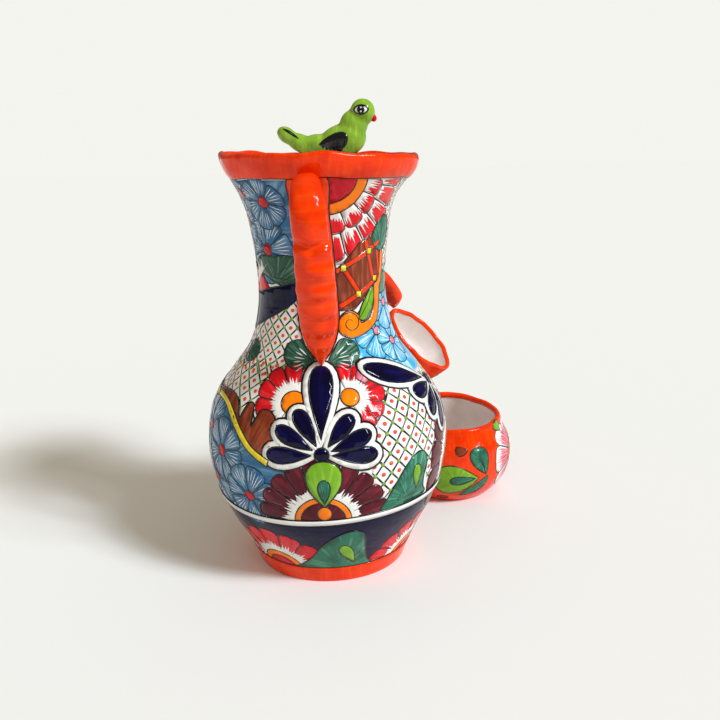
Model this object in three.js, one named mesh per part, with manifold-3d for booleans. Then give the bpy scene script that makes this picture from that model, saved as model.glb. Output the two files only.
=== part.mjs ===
// Hand-painted earthenware cascade jug: a waisted jug with a pinched strap handle, a bird on the
// rim, a drooping spout tongue, a tilted catching cup on the shoulder and a round bowl at the foot.
// Millimetres, +Z up. The origin is the centre of the jug's foot, on the surface it stands on.
// The handle lies towards -Y, the bird towards +Y and the cascade runs out between +X and +Y.

import * as THREE from 'three';
import { mergeVertices } from 'three/addons/utils/BufferGeometryUtils.js';
import Module from 'manifold-3d';

const wasm = await Module();
wasm.setup();

// ---- driving dimensions ----

const JUG_HEIGHT = 400;
const FOOT_HEIGHT = 14;
const RING_LINE_HEIGHT = 78;
const BELLY_HEIGHT = 128;
const SHOULDER_LINE_HEIGHT = 206;
const WAIST_HEIGHT = 284;
const COLLAR_HEIGHT = 21;
const JUG_WALL = 7;
const COLLAR_WALL = 9;
const FLOOR_THICKNESS = 9;
const GAP = 0.3;
const LUTING_GAP = 0.9;
const TURN_STEPS = 40;

const CASCADE_AZIMUTH = THREE.MathUtils.degToRad(45);

const HANDLE_WIDTH = 33;
const HANDLE_THICKNESS = 15;
const PINCH_GAP = 1;
const RIDGE_HEIGHT = 1.6;
const RIDGE_SPACING = 17;

const TONGUE_WIDTH = 32;
const TONGUE_THICKNESS = 17;

const CUP_DISTANCE = 146;
const CUP_RIM_HEIGHT = 195.5;
const CUP_RADIUS = 43;
const CUP_DEPTH = 46;
const CUP_WALL = 6;
const CUP_TILT = THREE.MathUtils.degToRad(43);
const CUP_TILT_AZIMUTH = THREE.MathUtils.degToRad(-22);

const BOWL_DISTANCE = 200;
const BOWL_HEIGHT = 98;
const BOWL_WAIST_HEIGHT = 47;
const BOWL_WALL = 7;
const BOWL_FLOOR = 8;

const COIL_RADIUS = 4.2;
const COIL_SIDES = 8;

const BIRD_AZIMUTH = THREE.MathUtils.degToRad(85.5);
const BIRD_TURN = THREE.MathUtils.degToRad(-9);
const BIRD_RIM_RADIUS = 85;
const BIRD_BASE_HEIGHT = 5;

// ---- glaze colours ----

const ORANGE = 0xf04410;
const COBALT = 0x1d2a86;
const CREAM = 0xe9e6df;
const SKY_BLUE = 0x4b9cc4;
const CLAY = 0xb5603a;
const LEAF_GREEN = 0x8fbf3a;
const DARK = 0x1b1a1c;
const BEAK_RED = 0xb3242a;

// ---- helpers ----

// The jug's outside, as radius against height. Round stretches come from the spline.
const jugCurve = new THREE.SplineCurve([
  new THREE.Vector2(75, 0),
  new THREE.Vector2(81, 16),
  new THREE.Vector2(93, 40),
  new THREE.Vector2(109, 72),
  new THREE.Vector2(118, 108),
  new THREE.Vector2(119, 130),
  new THREE.Vector2(114, 160),
  new THREE.Vector2(103, 181),
  new THREE.Vector2(84, 206),
  new THREE.Vector2(70.5, 226),
  new THREE.Vector2(62.5, 256),
  new THREE.Vector2(60.3, 284),
  new THREE.Vector2(63.5, 322),
  new THREE.Vector2(69.5, 354),
  new THREE.Vector2(80, 374),
  new THREE.Vector2(88.5, 388),
  new THREE.Vector2(91, JUG_HEIGHT),
]);
const jugOutline = jugCurve.getPoints(340);

// The bowl's outside, as radius against height.
const bowlCurve = new THREE.SplineCurve([
  new THREE.Vector2(46, 0),
  new THREE.Vector2(56, 10),
  new THREE.Vector2(66.5, 27),
  new THREE.Vector2(70, 47),
  new THREE.Vector2(68, 66),
  new THREE.Vector2(61, 83),
  new THREE.Vector2(57, BOWL_HEIGHT),
]);
const bowlOutline = bowlCurve.getPoints(120);

function radiusAt(outline, height) {
  const after = outline.findIndex((point) => point.y >= height);
  if (after <= 0) {
    return outline[after === 0 ? 0 : outline.length - 1].x;
  }
  const low = outline[after - 1];
  const high = outline[after];
  return THREE.MathUtils.mapLinear(height, low.y, high.y, low.x, high.x);
}

// Drops everything but position, merges shared corners and leaves out collapsed triangles.
function welded(geometry) {
  const bare = geometry.clone();
  for (const name of Object.keys(bare.attributes)) {
    if (name !== 'position') {
      bare.deleteAttribute(name);
    }
  }
  const merged = mergeVertices(bare, 1e-4);
  const corners = merged.index.array;
  const kept = [];
  for (let i = 0; i < corners.length; i += 3) {
    const [a, b, c] = [corners[i], corners[i + 1], corners[i + 2]];
    if (a !== b && b !== c && c !== a) {
      kept.push(a, b, c);
    }
  }
  merged.setIndex(kept);
  return merged;
}

function signedVolume(geometry) {
  const corners = geometry.index.array;
  const position = geometry.attributes.position;
  const [a, b, c] = [new THREE.Vector3(), new THREE.Vector3(), new THREE.Vector3()];
  let volume = 0;
  for (let i = 0; i < corners.length; i += 3) {
    a.fromBufferAttribute(position, corners[i]);
    b.fromBufferAttribute(position, corners[i + 1]);
    c.fromBufferAttribute(position, corners[i + 2]);
    volume += a.dot(b.cross(c)) / 6;
  }
  return volume;
}

// Turns a closed geometry so that its faces point out.
function facingOut(geometry) {
  const closed = welded(geometry);
  if (signedVolume(closed) < 0) {
    closed.setIndex(Array.from(closed.index.array).reverse());
  }
  return closed;
}

function toSolid(geometry) {
  const closed = facingOut(geometry);
  return new wasm.Manifold(new wasm.Mesh({
    numProp: 3,
    vertProperties: new Float32Array(closed.attributes.position.array),
    triVerts: new Uint32Array(closed.index.array),
  }));
}

function toGeometry(solid) {
  const mesh = solid.getMesh();
  const geometry = new THREE.BufferGeometry();
  geometry.setAttribute('position', new THREE.BufferAttribute(mesh.vertProperties, 3));
  geometry.setIndex(new THREE.BufferAttribute(mesh.triVerts, 1));
  return geometry;
}

// Cuts tools away from a piece, so that it meets its neighbours with the standard gap.
function cutBack(geometry, ...tools) {
  let solid = toSolid(geometry);
  for (const tool of tools) {
    solid = solid.subtract(toSolid(tool));
  }
  return toGeometry(solid);
}

// Turns a closed profile of [radius, height] about the Z axis.
function turned(profile, steps = TURN_STEPS) {
  const points = profile.map(([radius, height]) => new THREE.Vector2(radius, height));
  return facingOut(new THREE.LatheGeometry(points, steps).rotateX(Math.PI / 2));
}

function heightsBetween(low, high, count) {
  return Array.from({ length: count + 1 }, (_, i) => low + (high - low) * i / count);
}

// A band of wall between two heights of an outline, as thick as wall says.
function wallBand(outline, low, high, wall, count) {
  const heights = heightsBetween(low, high, count);
  const outside = heights.map((height) => [radiusAt(outline, height), height]);
  const inside = heights.map((height) => [radiusAt(outline, height) - wall, height]).reverse();
  return turned([...outside, ...inside, outside[0]]);
}

// A full disc that follows the outline between two heights.
function outlineDisc(outline, low, high, count) {
  const rim = heightsBetween(low, high, count).map((height) => [radiusAt(outline, height), height]);
  return turned([[0, low], ...rim, [0, high]]);
}

// The outline filled in and grown by the luting gap: what neighbours are cut back by.
function envelope(outline, height, count) {
  const rim = heightsBetween(0, height, count).map((z) => [radiusAt(outline, z) + LUTING_GAP, z]);
  const [lowest, highest] = [rim[0], rim[rim.length - 1]];
  return turned([[0, -GAP], [lowest[0], -GAP], ...rim, [highest[0], height + GAP], [0, height + GAP]]);
}

// A round coil of clay lying in a ring.
function ringCoil(ringRadius, coilRadius, height) {
  const around = Array.from({ length: COIL_SIDES }, (_, i) => i / COIL_SIDES * Math.PI * 2);
  const section = around.map((angle) => [
    ringRadius + coilRadius * Math.cos(angle),
    height + coilRadius * Math.sin(angle),
  ]);
  return turned([...section, section[0]]);
}

// An egg-shaped lump with its half lengths along X, Y and Z.
function lump(halfX, halfY, halfZ, steps = 18) {
  return new THREE.SphereGeometry(1, steps, Math.round(steps * 0.7)).scale(halfX, halfY, halfZ);
}

// A strap with a flattened round section, swept along a path that lies in the YZ plane.
function strap(path, width, thickness, steps) {
  const section = new THREE.Shape();
  section.absellipse(0, 0, width / 2, thickness / 2, 0, Math.PI * 2, false, 0);
  return new THREE.ExtrudeGeometry(section, { extrudePath: path, steps, curveSegments: 7 });
}

// The stretch of a curve between two fractions of its length.
function stretch(curve, from, to, count) {
  const share = (i) => from + (to - from) * i / count;
  const points = Array.from({ length: count + 1 }, (_, i) => curve.getPointAt(share(i)));
  return new THREE.CatmullRomCurve3(points);
}

function moveEachPoint(geometry, change) {
  const position = geometry.attributes.position;
  const point = new THREE.Vector3();
  for (let i = 0; i < position.count; i += 1) {
    point.fromBufferAttribute(position, i);
    change(point);
    position.setXYZ(i, point.x, point.y, point.z);
  }
  return geometry;
}

function sidePoints(pairs) {
  return pairs.map(([distance, height]) => new THREE.Vector3(0, -distance, height));
}

const object = new THREE.Group();

function addPiece(parent, name, geometry, color, roughness = 0.25) {
  const material = new THREE.MeshStandardMaterial({ color, roughness, metalness: 0 });
  const mesh = new THREE.Mesh(geometry, material);
  mesh.name = name;
  parent.add(mesh);
}

const jugEnvelope = envelope(jugOutline, JUG_HEIGHT, 50);

// ---- jug ----

function addJug() {
  const footRadius = radiusAt(jugOutline, 0) - 17;
  const collarLow = JUG_HEIGHT - COLLAR_HEIGHT;
  const footOutside = heightsBetween(0, FOOT_HEIGHT, 3).map((z) => [radiusAt(jugOutline, z), z]);
  const footInside = [[footRadius + GAP, FOOT_HEIGHT], [footRadius + GAP, 0]];
  const baseOutline = [[0, 0], [footRadius, 0], [footRadius, FLOOR_THICKNESS], [0, FLOOR_THICKNESS]];
  addPiece(object, 'base_disc', turned(baseOutline), CLAY, 0.8);
  addPiece(object, 'foot_ring', turned([...footOutside, ...footInside, footOutside[0]]), ORANGE);
  addPiece(object, 'lower_belly_wall',
    wallBand(jugOutline, FOOT_HEIGHT + GAP, RING_LINE_HEIGHT, JUG_WALL, 5), COBALT);
  addPiece(object, 'upper_belly_wall',
    wallBand(jugOutline, RING_LINE_HEIGHT + GAP, BELLY_HEIGHT, JUG_WALL, 4), CREAM);
  addPiece(object, 'shoulder_wall',
    wallBand(jugOutline, BELLY_HEIGHT + GAP, SHOULDER_LINE_HEIGHT, JUG_WALL, 6), CREAM);
  addPiece(object, 'lower_neck_wall',
    wallBand(jugOutline, SHOULDER_LINE_HEIGHT + GAP, WAIST_HEIGHT, JUG_WALL, 6), SKY_BLUE);
  addPiece(object, 'upper_neck_wall',
    wallBand(jugOutline, WAIST_HEIGHT + GAP, collarLow, JUG_WALL, 6), SKY_BLUE);
  addPiece(object, 'rim_collar', wallBand(jugOutline, collarLow + GAP, JUG_HEIGHT, COLLAR_WALL, 4), ORANGE);
}

// ---- handle ----

// The handle springs from under the collar, bows out over the fingers and runs down to the shoulder.
function addHandle() {
  const path = new THREE.CatmullRomCurve3(sidePoints([
    [66, 366],
    [86, 380],
    [106, 378],
    [118, 360],
    [120, 332],
    [113, 298],
    [99, 262],
    [84, 234],
    [66, 209],
  ]));
  const pinch = 0.42;
  const gapShare = PINCH_GAP / path.getLength();
  const lobe = strap(stretch(path, 0, pinch, 12), HANDLE_WIDTH, HANDLE_THICKNESS, 12);
  const tail = strap(stretch(path, pinch + gapShare, 1, 20), HANDLE_WIDTH, HANDLE_THICKNESS, 36);
  const tipHeight = 214;
  const taperStart = 262;
  const pinchHeight = path.getPointAt(pinch).z - HANDLE_THICKNESS / 2;
  moveEachPoint(tail, (point) => {
    const taper = THREE.MathUtils.smoothstep(point.z, tipHeight, taperStart);
    point.x *= 0.12 + 0.88 * Math.sqrt(taper);
    const below = Math.max(pinchHeight - point.z, 0);
    point.y -= RIDGE_HEIGHT * taper * (0.5 - 0.5 * Math.cos(below / RIDGE_SPACING * Math.PI * 2));
  });
  addPiece(object, 'handle_lobe', cutBack(lobe, jugEnvelope), ORANGE);
  addPiece(object, 'handle_strap', cutBack(tail, jugEnvelope), ORANGE);
}

// ---- cascade ----

// The tongue droops from the neck and pours into the cup.
function addSpoutTongue() {
  const path = new THREE.CatmullRomCurve3(sidePoints([
    [46, 279],
    [61, 281],
    [76, 274],
    [91, 259],
    [104, 238],
  ]));
  const tongue = strap(path, TONGUE_WIDTH, TONGUE_THICKNESS, 14);
  moveEachPoint(tongue, (point) => {
    const out = THREE.MathUtils.smoothstep(-point.y, 80, 116);
    point.x *= 1 - 0.35 * out;
  });
  tongue.rotateZ(CASCADE_AZIMUTH + Math.PI / 2);
  addPiece(object, 'spout_tongue', cutBack(tongue, jugEnvelope), ORANGE);
}

function cascadePoint(distance, height) {
  return new THREE.Vector3(
    distance * Math.cos(CASCADE_AZIMUTH),
    distance * Math.sin(CASCADE_AZIMUTH),
    height,
  );
}

// The cup is turned upright, with its rim at height zero, then tilted so that it pours to one side.
function addCup() {
  const outside = [
    [0, -CUP_DEPTH],
    [20, -CUP_DEPTH],
    [31, -CUP_DEPTH + 7],
    [38, -CUP_DEPTH + 19],
    [CUP_RADIUS - 1, -12],
    [CUP_RADIUS, -COIL_RADIUS],
  ];
  const floor = -CUP_DEPTH + CUP_WALL;
  const inside = [
    [CUP_RADIUS - CUP_WALL, -COIL_RADIUS],
    [CUP_RADIUS - CUP_WALL - 1, -12],
    [31, -CUP_DEPTH + 21],
    [24, floor + 5],
    [15, floor],
    [0, floor],
  ];
  const wall = turned([...outside, ...inside], 36);
  const filled = turned([...outside.map(([radius, z]) => [radius && radius + GAP, z - GAP]), [0, 0]], 36);
  const group = new THREE.Group();
  const leanAxis = new THREE.Vector3(-Math.sin(CUP_TILT_AZIMUTH), Math.cos(CUP_TILT_AZIMUTH), 0);
  group.position.copy(cascadePoint(CUP_DISTANCE, CUP_RIM_HEIGHT));
  group.quaternion.setFromAxisAngle(leanAxis, CUP_TILT);
  group.updateMatrix();
  const toCup = group.matrix.clone().invert();
  const jugSeenFromCup = jugEnvelope.clone().applyMatrix4(toCup);
  addPiece(group, 'cup_wall', cutBack(wall, jugSeenFromCup), ORANGE);
  const coil = ringCoil(CUP_RADIUS - CUP_WALL / 2, COIL_RADIUS - GAP, 0);
  addPiece(group, 'cup_rim_coil', coil, ORANGE);
  const pad = lump(27, 24, 22).translate(66, 102, 168).applyMatrix4(toCup);
  addPiece(group, 'cup_luting_pad', cutBack(pad, filled, jugSeenFromCup), ORANGE);
  object.add(group);
}

function addBowl() {
  const group = new THREE.Group();
  group.position.copy(cascadePoint(BOWL_DISTANCE, 0));
  const coilLow = BOWL_HEIGHT - 2 * COIL_RADIUS;
  addPiece(group, 'bowl_floor', outlineDisc(bowlOutline, 0, BOWL_FLOOR, 2), ORANGE);
  addPiece(group, 'lower_bowl_wall',
    wallBand(bowlOutline, BOWL_FLOOR + GAP, BOWL_WAIST_HEIGHT, BOWL_WALL, 4), ORANGE);
  addPiece(group, 'upper_bowl_wall',
    wallBand(bowlOutline, BOWL_WAIST_HEIGHT + GAP, coilLow - GAP, BOWL_WALL, 4), ORANGE);
  const coilRing = radiusAt(bowlOutline, BOWL_HEIGHT) - COIL_RADIUS;
  addPiece(group, 'bowl_rim_coil', ringCoil(coilRing, COIL_RADIUS, BOWL_HEIGHT - COIL_RADIUS), ORANGE);
  object.add(group);
  const bowlEnvelope = envelope(bowlOutline, BOWL_HEIGHT, 14);
  bowlEnvelope.translate(group.position.x, group.position.y, 0);
  const bridge = lump(29, 23, 24).rotateZ(CASCADE_AZIMUTH);
  const middle = cascadePoint(115, 58);
  bridge.translate(middle.x, middle.y, middle.z);
  addPiece(object, 'bowl_luting_bridge', cutBack(bridge, jugEnvelope, bowlEnvelope), ORANGE);
}

// ---- bird ----

// The bird is modelled facing +X over its base, then set on the rim, along it.
function addBird() {
  const group = new THREE.Group();
  group.position.set(
    BIRD_RIM_RADIUS * Math.cos(BIRD_AZIMUTH),
    BIRD_RIM_RADIUS * Math.sin(BIRD_AZIMUTH),
    JUG_HEIGHT + GAP,
  );
  group.rotation.z = BIRD_TURN;
  const base = new THREE.CylinderGeometry(1, 1, BIRD_BASE_HEIGHT, 28).rotateX(Math.PI / 2);
  base.scale(31, 12, 1).translate(0, 0, BIRD_BASE_HEIGHT / 2);
  addPiece(group, 'bird_base', facingOut(base), DARK);
  const floorCut = new THREE.BoxGeometry(140, 60, 20).translate(0, 0, BIRD_BASE_HEIGHT + GAP - 10);
  const head = lump(13, 11.5, 12).translate(36, 0, 42);
  const headRoom = lump(13 + GAP, 11.5 + GAP, 12 + GAP).translate(36, 0, 42);
  const breast = toSolid(lump(27, 14, 14.5).rotateY(THREE.MathUtils.degToRad(-22)).translate(11, 0, 17));
  const neck = toSolid(lump(13, 11.5, 16).rotateY(THREE.MathUtils.degToRad(25)).translate(27, 0, 29));
  const body = cutBack(toGeometry(breast.add(neck)), floorCut, headRoom);
  addPiece(group, 'bird_body', body, LEAF_GREEN);
  const beak = new THREE.ConeGeometry(3.6, 9, 10).rotateZ(-Math.PI / 2);
  beak.rotateY(THREE.MathUtils.degToRad(38)).translate(49, 0, 36);
  addPiece(group, 'bird_head', facingOut(head), LEAF_GREEN);
  addPiece(group, 'bird_beak', cutBack(beak, headRoom), BEAK_RED);
  const tail = lump(28, 9, 7).rotateY(THREE.MathUtils.degToRad(24)).translate(-29, 0, 15.5);
  const bodyRoom = lump(27 + GAP, 14 + GAP, 14.5 + GAP);
  bodyRoom.rotateY(THREE.MathUtils.degToRad(-22)).translate(11, 0, 17);
  addPiece(group, 'bird_tail', cutBack(tail, bodyRoom, floorCut), LEAF_GREEN);
  object.add(group);
}

addJug();
addHandle();
addSpoutTongue();
addCup();
addBowl();
addBird();

export default object;
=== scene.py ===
import math
import random

import bpy
import numpy as np
from mathutils import Matrix, Vector, noise
from mathutils.bvhtree import BVHTree
from mathutils.geometry import delaunay_2d_cdt


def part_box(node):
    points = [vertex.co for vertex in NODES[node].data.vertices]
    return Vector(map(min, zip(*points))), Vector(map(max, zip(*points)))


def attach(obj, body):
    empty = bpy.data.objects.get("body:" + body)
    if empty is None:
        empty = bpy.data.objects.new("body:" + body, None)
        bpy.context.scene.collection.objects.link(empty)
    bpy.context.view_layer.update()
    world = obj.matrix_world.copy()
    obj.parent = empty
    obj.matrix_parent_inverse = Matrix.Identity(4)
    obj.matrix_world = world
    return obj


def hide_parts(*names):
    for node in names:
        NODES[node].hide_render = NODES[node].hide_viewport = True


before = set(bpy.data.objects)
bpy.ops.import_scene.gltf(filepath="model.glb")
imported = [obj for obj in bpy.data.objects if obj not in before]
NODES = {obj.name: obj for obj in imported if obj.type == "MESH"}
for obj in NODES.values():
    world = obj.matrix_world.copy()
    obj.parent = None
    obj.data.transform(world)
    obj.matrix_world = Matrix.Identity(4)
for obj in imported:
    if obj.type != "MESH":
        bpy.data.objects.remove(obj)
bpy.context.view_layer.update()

MM = 0.001


# ---- camera, light and floor ----

CAMERA_PLACE = Vector((34.5, -743.0, 401.5)) * MM
CAMERA_DROP = math.radians(15.2)
CAMERA_ROLL = math.radians(1.6)
CAMERA_LENS = 38.8


def set_camera():
    """Stands level with the rim, right of the handle, and looks down at the jug."""
    data = bpy.data.cameras.new("camera")
    camera = bpy.data.objects.new("camera", data)
    bpy.context.scene.collection.objects.link(camera)
    data.sensor_width = 36.0
    data.lens = CAMERA_LENS
    data.clip_start = 0.02
    camera.matrix_world = (
        Matrix.Translation(CAMERA_PLACE)
        @ Matrix.Rotation(math.pi / 2 - CAMERA_DROP, 4, "X")
        @ Matrix.Rotation(-CAMERA_ROLL, 4, "Z")
    )
    bpy.context.scene.camera = camera


SUN_FROM = Vector((0.84, -0.54, 0.0))
SUN_HEIGHT = math.radians(40)
SUNLIGHT = (0.90, 0.975, 1.04)
SUNS = (("window", 2.85, 15), ("bright_pane", 0.42, 4))     # name, strength, spread in degrees
ROOM_LIGHT, ROOM_STRENGTH = (1.0, 0.90, 0.72, 1), 0.47
ROOM_SEEN, SEEN_STRENGTH = (0.905, 0.908, 0.862, 1), 1.0
ROOM_GLEAM, GLEAM_STRENGTH = (1.0, 0.98, 0.94, 1), 0.15


def set_lights():
    """One soft window from the right, low enough to throw the shadow to the left, with a bright pane in
    its middle, and a pale room."""
    coming = SUN_FROM.normalized() * math.cos(SUN_HEIGHT) + Vector((0, 0, math.sin(SUN_HEIGHT)))
    for name, energy, spread in SUNS:
        data = bpy.data.lights.new(name, "SUN")
        data.energy = energy
        data.angle = math.radians(spread)
        data.color = SUNLIGHT
        window = bpy.data.objects.new(name, data)
        bpy.context.scene.collection.objects.link(window)
        window.rotation_euler = coming.to_track_quat("Z", "Y").to_euler()
    world = bpy.data.worlds.new("studio")
    bpy.context.scene.world = world
    world.use_nodes = True
    nodes, links = world.node_tree.nodes, world.node_tree.links
    soft = nodes["Background"]
    seen = nodes.new("ShaderNodeBackground")
    gleam = nodes.new("ShaderNodeBackground")
    rooms = ((soft, ROOM_LIGHT, ROOM_STRENGTH), (seen, ROOM_SEEN, SEEN_STRENGTH),
             (gleam, ROOM_GLEAM, GLEAM_STRENGTH))
    for room, colour, strength in rooms:
        room.inputs["Color"].default_value = colour
        room.inputs["Strength"].default_value = strength
    ray = nodes.new("ShaderNodeLightPath")
    lit = soft.outputs[0]
    for kind, other in (("Is Glossy Ray", gleam), ("Is Camera Ray", seen)):
        mix = nodes.new("ShaderNodeMixShader")
        links.new(ray.outputs[kind], mix.inputs["Fac"])
        links.new(lit, mix.inputs[1])
        links.new(other.outputs[0], mix.inputs[2])
        lit = mix.outputs[0]
    links.new(lit, nodes["World Output"].inputs["Surface"])
    bpy.context.scene.view_settings.view_transform = "Standard"


# ---- finishes ----

def new_material(name):
    material = bpy.data.materials.new(name)
    material.use_nodes = True
    return material, material.node_tree.nodes, material.node_tree.links


def add_ramp(nodes, links, source, low, high):
    ramp = nodes.new("ShaderNodeMapRange")
    ramp.interpolation_type = "SMOOTHSTEP"
    ramp.inputs["From Min"].default_value = low
    ramp.inputs["From Max"].default_value = high
    links.new(source, ramp.inputs["Value"])
    return ramp


def add_noise(nodes, links, vector, scale, detail):
    texture = nodes.new("ShaderNodeTexNoise")
    texture.inputs["Scale"].default_value = scale
    texture.inputs["Detail"].default_value = detail
    links.new(vector, texture.inputs["Vector"])
    return texture


def add_mix(nodes, links, factor, first, second, amount):
    """Blends two colours by a factor that reaches at most the amount. A colour may be a socket."""
    scaled = nodes.new("ShaderNodeMath")
    scaled.operation = "MULTIPLY"
    scaled.inputs[1].default_value = amount
    links.new(factor, scaled.inputs[0])
    mix = nodes.new("ShaderNodeMix")
    mix.data_type = "RGBA"
    links.new(scaled.outputs[0], mix.inputs["Factor"])
    for socket, colour in ((mix.inputs[6], first), (mix.inputs[7], second)):
        if isinstance(colour, tuple):
            socket.default_value = (*colour, 1)
        else:
            links.new(colour, socket)
    return mix.outputs[2]


GLAZE_SPECULAR = 0.22
CLOUD_SCALE = 55.0
DENT_SCALE = 95.0
POLISH_SCALE = 240.0
GRAIN_SCALE = 400.0
GRIT_SCALE = 500.0


def add_bump(nodes, links, height, shader, strength, distance):
    bump = nodes.new("ShaderNodeBump")
    bump.inputs["Strength"].default_value = strength
    bump.inputs["Distance"].default_value = distance
    links.new(height, bump.inputs["Height"])
    links.new(bump.outputs["Normal"], shader.inputs["Normal"])


def glaze(name, colour, light, dark, streak=0.5, cloud=0.5, gloss=0.07, ripple=0.12):
    """Fired gloss glaze: brush strokes along the stroke attribute, thin and pooled patches, soft dents."""
    material, nodes, links = new_material(name)
    shader = nodes["Principled BSDF"]
    shader.inputs["IOR"].default_value = 1.5
    shader.inputs["Specular IOR Level"].default_value = GLAZE_SPECULAR
    place = nodes.new("ShaderNodeTexCoord").outputs["Object"]
    stroke = nodes.new("ShaderNodeAttribute")
    stroke.attribute_name = "stroke"
    strokes = add_noise(nodes, links, stroke.outputs["Vector"], 1.0, 3.0)
    thin = add_ramp(nodes, links, strokes.outputs["Fac"], 0.46, 0.68)
    clouds = add_noise(nodes, links, place, CLOUD_SCALE, 3.0)
    pooled = add_ramp(nodes, links, clouds.outputs["Fac"], 0.42, 0.72)
    thinned = add_mix(nodes, links, thin.outputs[0], colour, light, streak)
    links.new(add_mix(nodes, links, pooled.outputs[0], thinned, dark, cloud), shader.inputs["Base Color"])
    fine = add_noise(nodes, links, place, POLISH_SCALE, 2.0)
    polish = nodes.new("ShaderNodeMapRange")
    polish.inputs["To Min"].default_value = gloss
    polish.inputs["To Max"].default_value = gloss + 0.12
    links.new(fine.outputs["Fac"], polish.inputs["Value"])
    links.new(polish.outputs[0], shader.inputs["Roughness"])
    dents = add_noise(nodes, links, place, DENT_SCALE, 3.0)
    add_bump(nodes, links, dents.outputs["Fac"], shader, ripple, 0.004)
    return material


def line_glaze():
    """The near-black oxide line, a little matter than the glaze round it."""
    material, nodes, links = new_material("oxide_line")
    shader = nodes["Principled BSDF"]
    shader.inputs["Base Color"].default_value = (0.008, 0.008, 0.010, 1)
    place = nodes.new("ShaderNodeTexCoord").outputs["Object"]
    grain = add_noise(nodes, links, place, GRAIN_SCALE, 2.0)
    polish = add_ramp(nodes, links, grain.outputs["Fac"], 0.3, 0.7)
    polish.inputs["To Min"].default_value = 0.16
    polish.inputs["To Max"].default_value = 0.34
    links.new(polish.outputs[0], shader.inputs["Roughness"])
    return material


def bare_clay():
    material, nodes, links = new_material("bare_clay")
    shader = nodes["Principled BSDF"]
    place = nodes.new("ShaderNodeTexCoord").outputs["Object"]
    grit = add_noise(nodes, links, place, GRIT_SCALE, 6.0)
    specks = add_ramp(nodes, links, grit.outputs["Fac"], 0.35, 0.7)
    tone = add_mix(nodes, links, specks.outputs[0], (0.50, 0.21, 0.11), (0.30, 0.12, 0.06), 0.8)
    links.new(tone, shader.inputs["Base Color"])
    shader.inputs["Roughness"].default_value = 0.85
    add_bump(nodes, links, grit.outputs["Fac"], shader, 0.4, 0.001)
    return material


WHITE = glaze("white_glaze", (0.82, 0.81, 0.78), (0.90, 0.89, 0.87), (0.68, 0.68, 0.66), 0.5, 0.5)
# The white glaze inside the pots, with a pink cast and made lighter: painted light that stands in for the
# orange glaze's light bounced round the inside.
INNER_GLAZE_PAINTED_BOUNCE = glaze("inner_glaze", (0.86, 0.80, 0.77), (0.90, 0.86, 0.83), (0.76, 0.70, 0.67), 0.4, 0.6, 0.16)
ORANGE = glaze("orange_glaze", (0.86, 0.040, 0.0006), (0.95, 0.085, 0.002), (0.60, 0.014, 0.0004),
               0.5, 0.55, 0.05, 0.26)
COBALT = glaze("cobalt_glaze", (0.0026, 0.0016, 0.022), (0.006, 0.005, 0.10), (0.0015, 0.001, 0.008),
               0.6, 0.6)
CRIMSON = glaze("crimson_glaze", (0.56, 0.004, 0.014), (0.72, 0.02, 0.04), (0.36, 0.002, 0.008), 0.5, 0.5)
RED = glaze("red_glaze", (0.70, 0.006, 0.012), (0.82, 0.06, 0.07), (0.46, 0.003, 0.006), 0.55, 0.5)
CORAL = glaze("coral_glaze", (0.82, 0.04, 0.04), (0.86, 0.20, 0.18), (0.66, 0.018, 0.016), 0.6, 0.4)
MAROON = glaze("maroon_glaze", (0.095, 0.004, 0.012), (0.21, 0.018, 0.036), (0.040, 0.002, 0.005), 0.75, 0.5)
AMBER = glaze("amber_glaze", (0.94, 0.215, 0.003), (0.97, 0.32, 0.012), (0.82, 0.13, 0.002), 0.5, 0.5)
TEAL = glaze("teal_glaze", (0.020, 0.155, 0.088), (0.12, 0.38, 0.26), (0.008, 0.060, 0.036), 0.8, 0.7)
LIME = glaze("lime_glaze", (0.18, 0.40, 0.016), (0.32, 0.58, 0.07), (0.09, 0.25, 0.008), 0.6, 0.5)
SKY = glaze("sky_glaze", (0.055, 0.42, 0.72), (0.55, 0.80, 0.90), (0.02, 0.28, 0.62), 0.9, 0.3)
# The sky-blue glaze made darker: painted shade, for the blue ground and flowers on the left of each panel.
SKY_IN_PAINTED_SHADE = glaze("steel_blue_glaze", (0.032, 0.16, 0.34), (0.24, 0.44, 0.60), (0.012, 0.075, 0.20), 0.8, 0.55)
BROWN = glaze("brown_glaze", (0.19, 0.030, 0.010), (0.38, 0.085, 0.035), (0.08, 0.012, 0.005), 0.85, 0.5)
YELLOW = glaze("yellow_glaze", (0.80, 0.62, 0.012), (0.90, 0.78, 0.07), (0.52, 0.40, 0.006), 0.5, 0.5)
PINK = glaze("pink_glaze", (0.76, 0.17, 0.24), (0.86, 0.50, 0.54), (0.52, 0.04, 0.10), 0.9, 0.4)
DEEP_GREEN = glaze("deep_green_glaze", (0.022, 0.085, 0.050), (0.15, 0.32, 0.23), (0.007, 0.030, 0.018),
                   0.8, 0.6)
MOSS = glaze("moss_glaze", (0.22, 0.38, 0.05), (0.34, 0.50, 0.14), (0.10, 0.22, 0.02), 0.4, 0.4)
VERMILION = glaze("vermilion_glaze", (0.80, 0.08, 0.03), (0.84, 0.22, 0.12), (0.60, 0.04, 0.02), 0.4, 0.4)
BIRD_GREEN = glaze("bird_green_glaze", (0.25, 0.45, 0.035), (0.44, 0.64, 0.10), (0.12, 0.27, 0.015), 0.5, 0.6)
BLACK = glaze("black_glaze", (0.008, 0.008, 0.009), (0.03, 0.03, 0.03), (0.004, 0.004, 0.004), 0.5, 0.3)
LINE = line_glaze()
CLAY = bare_clay()


# ---- walls: where a place on a vessel is ----

CURVE_STEP = 1.0
MIN_RING = 18.0


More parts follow.
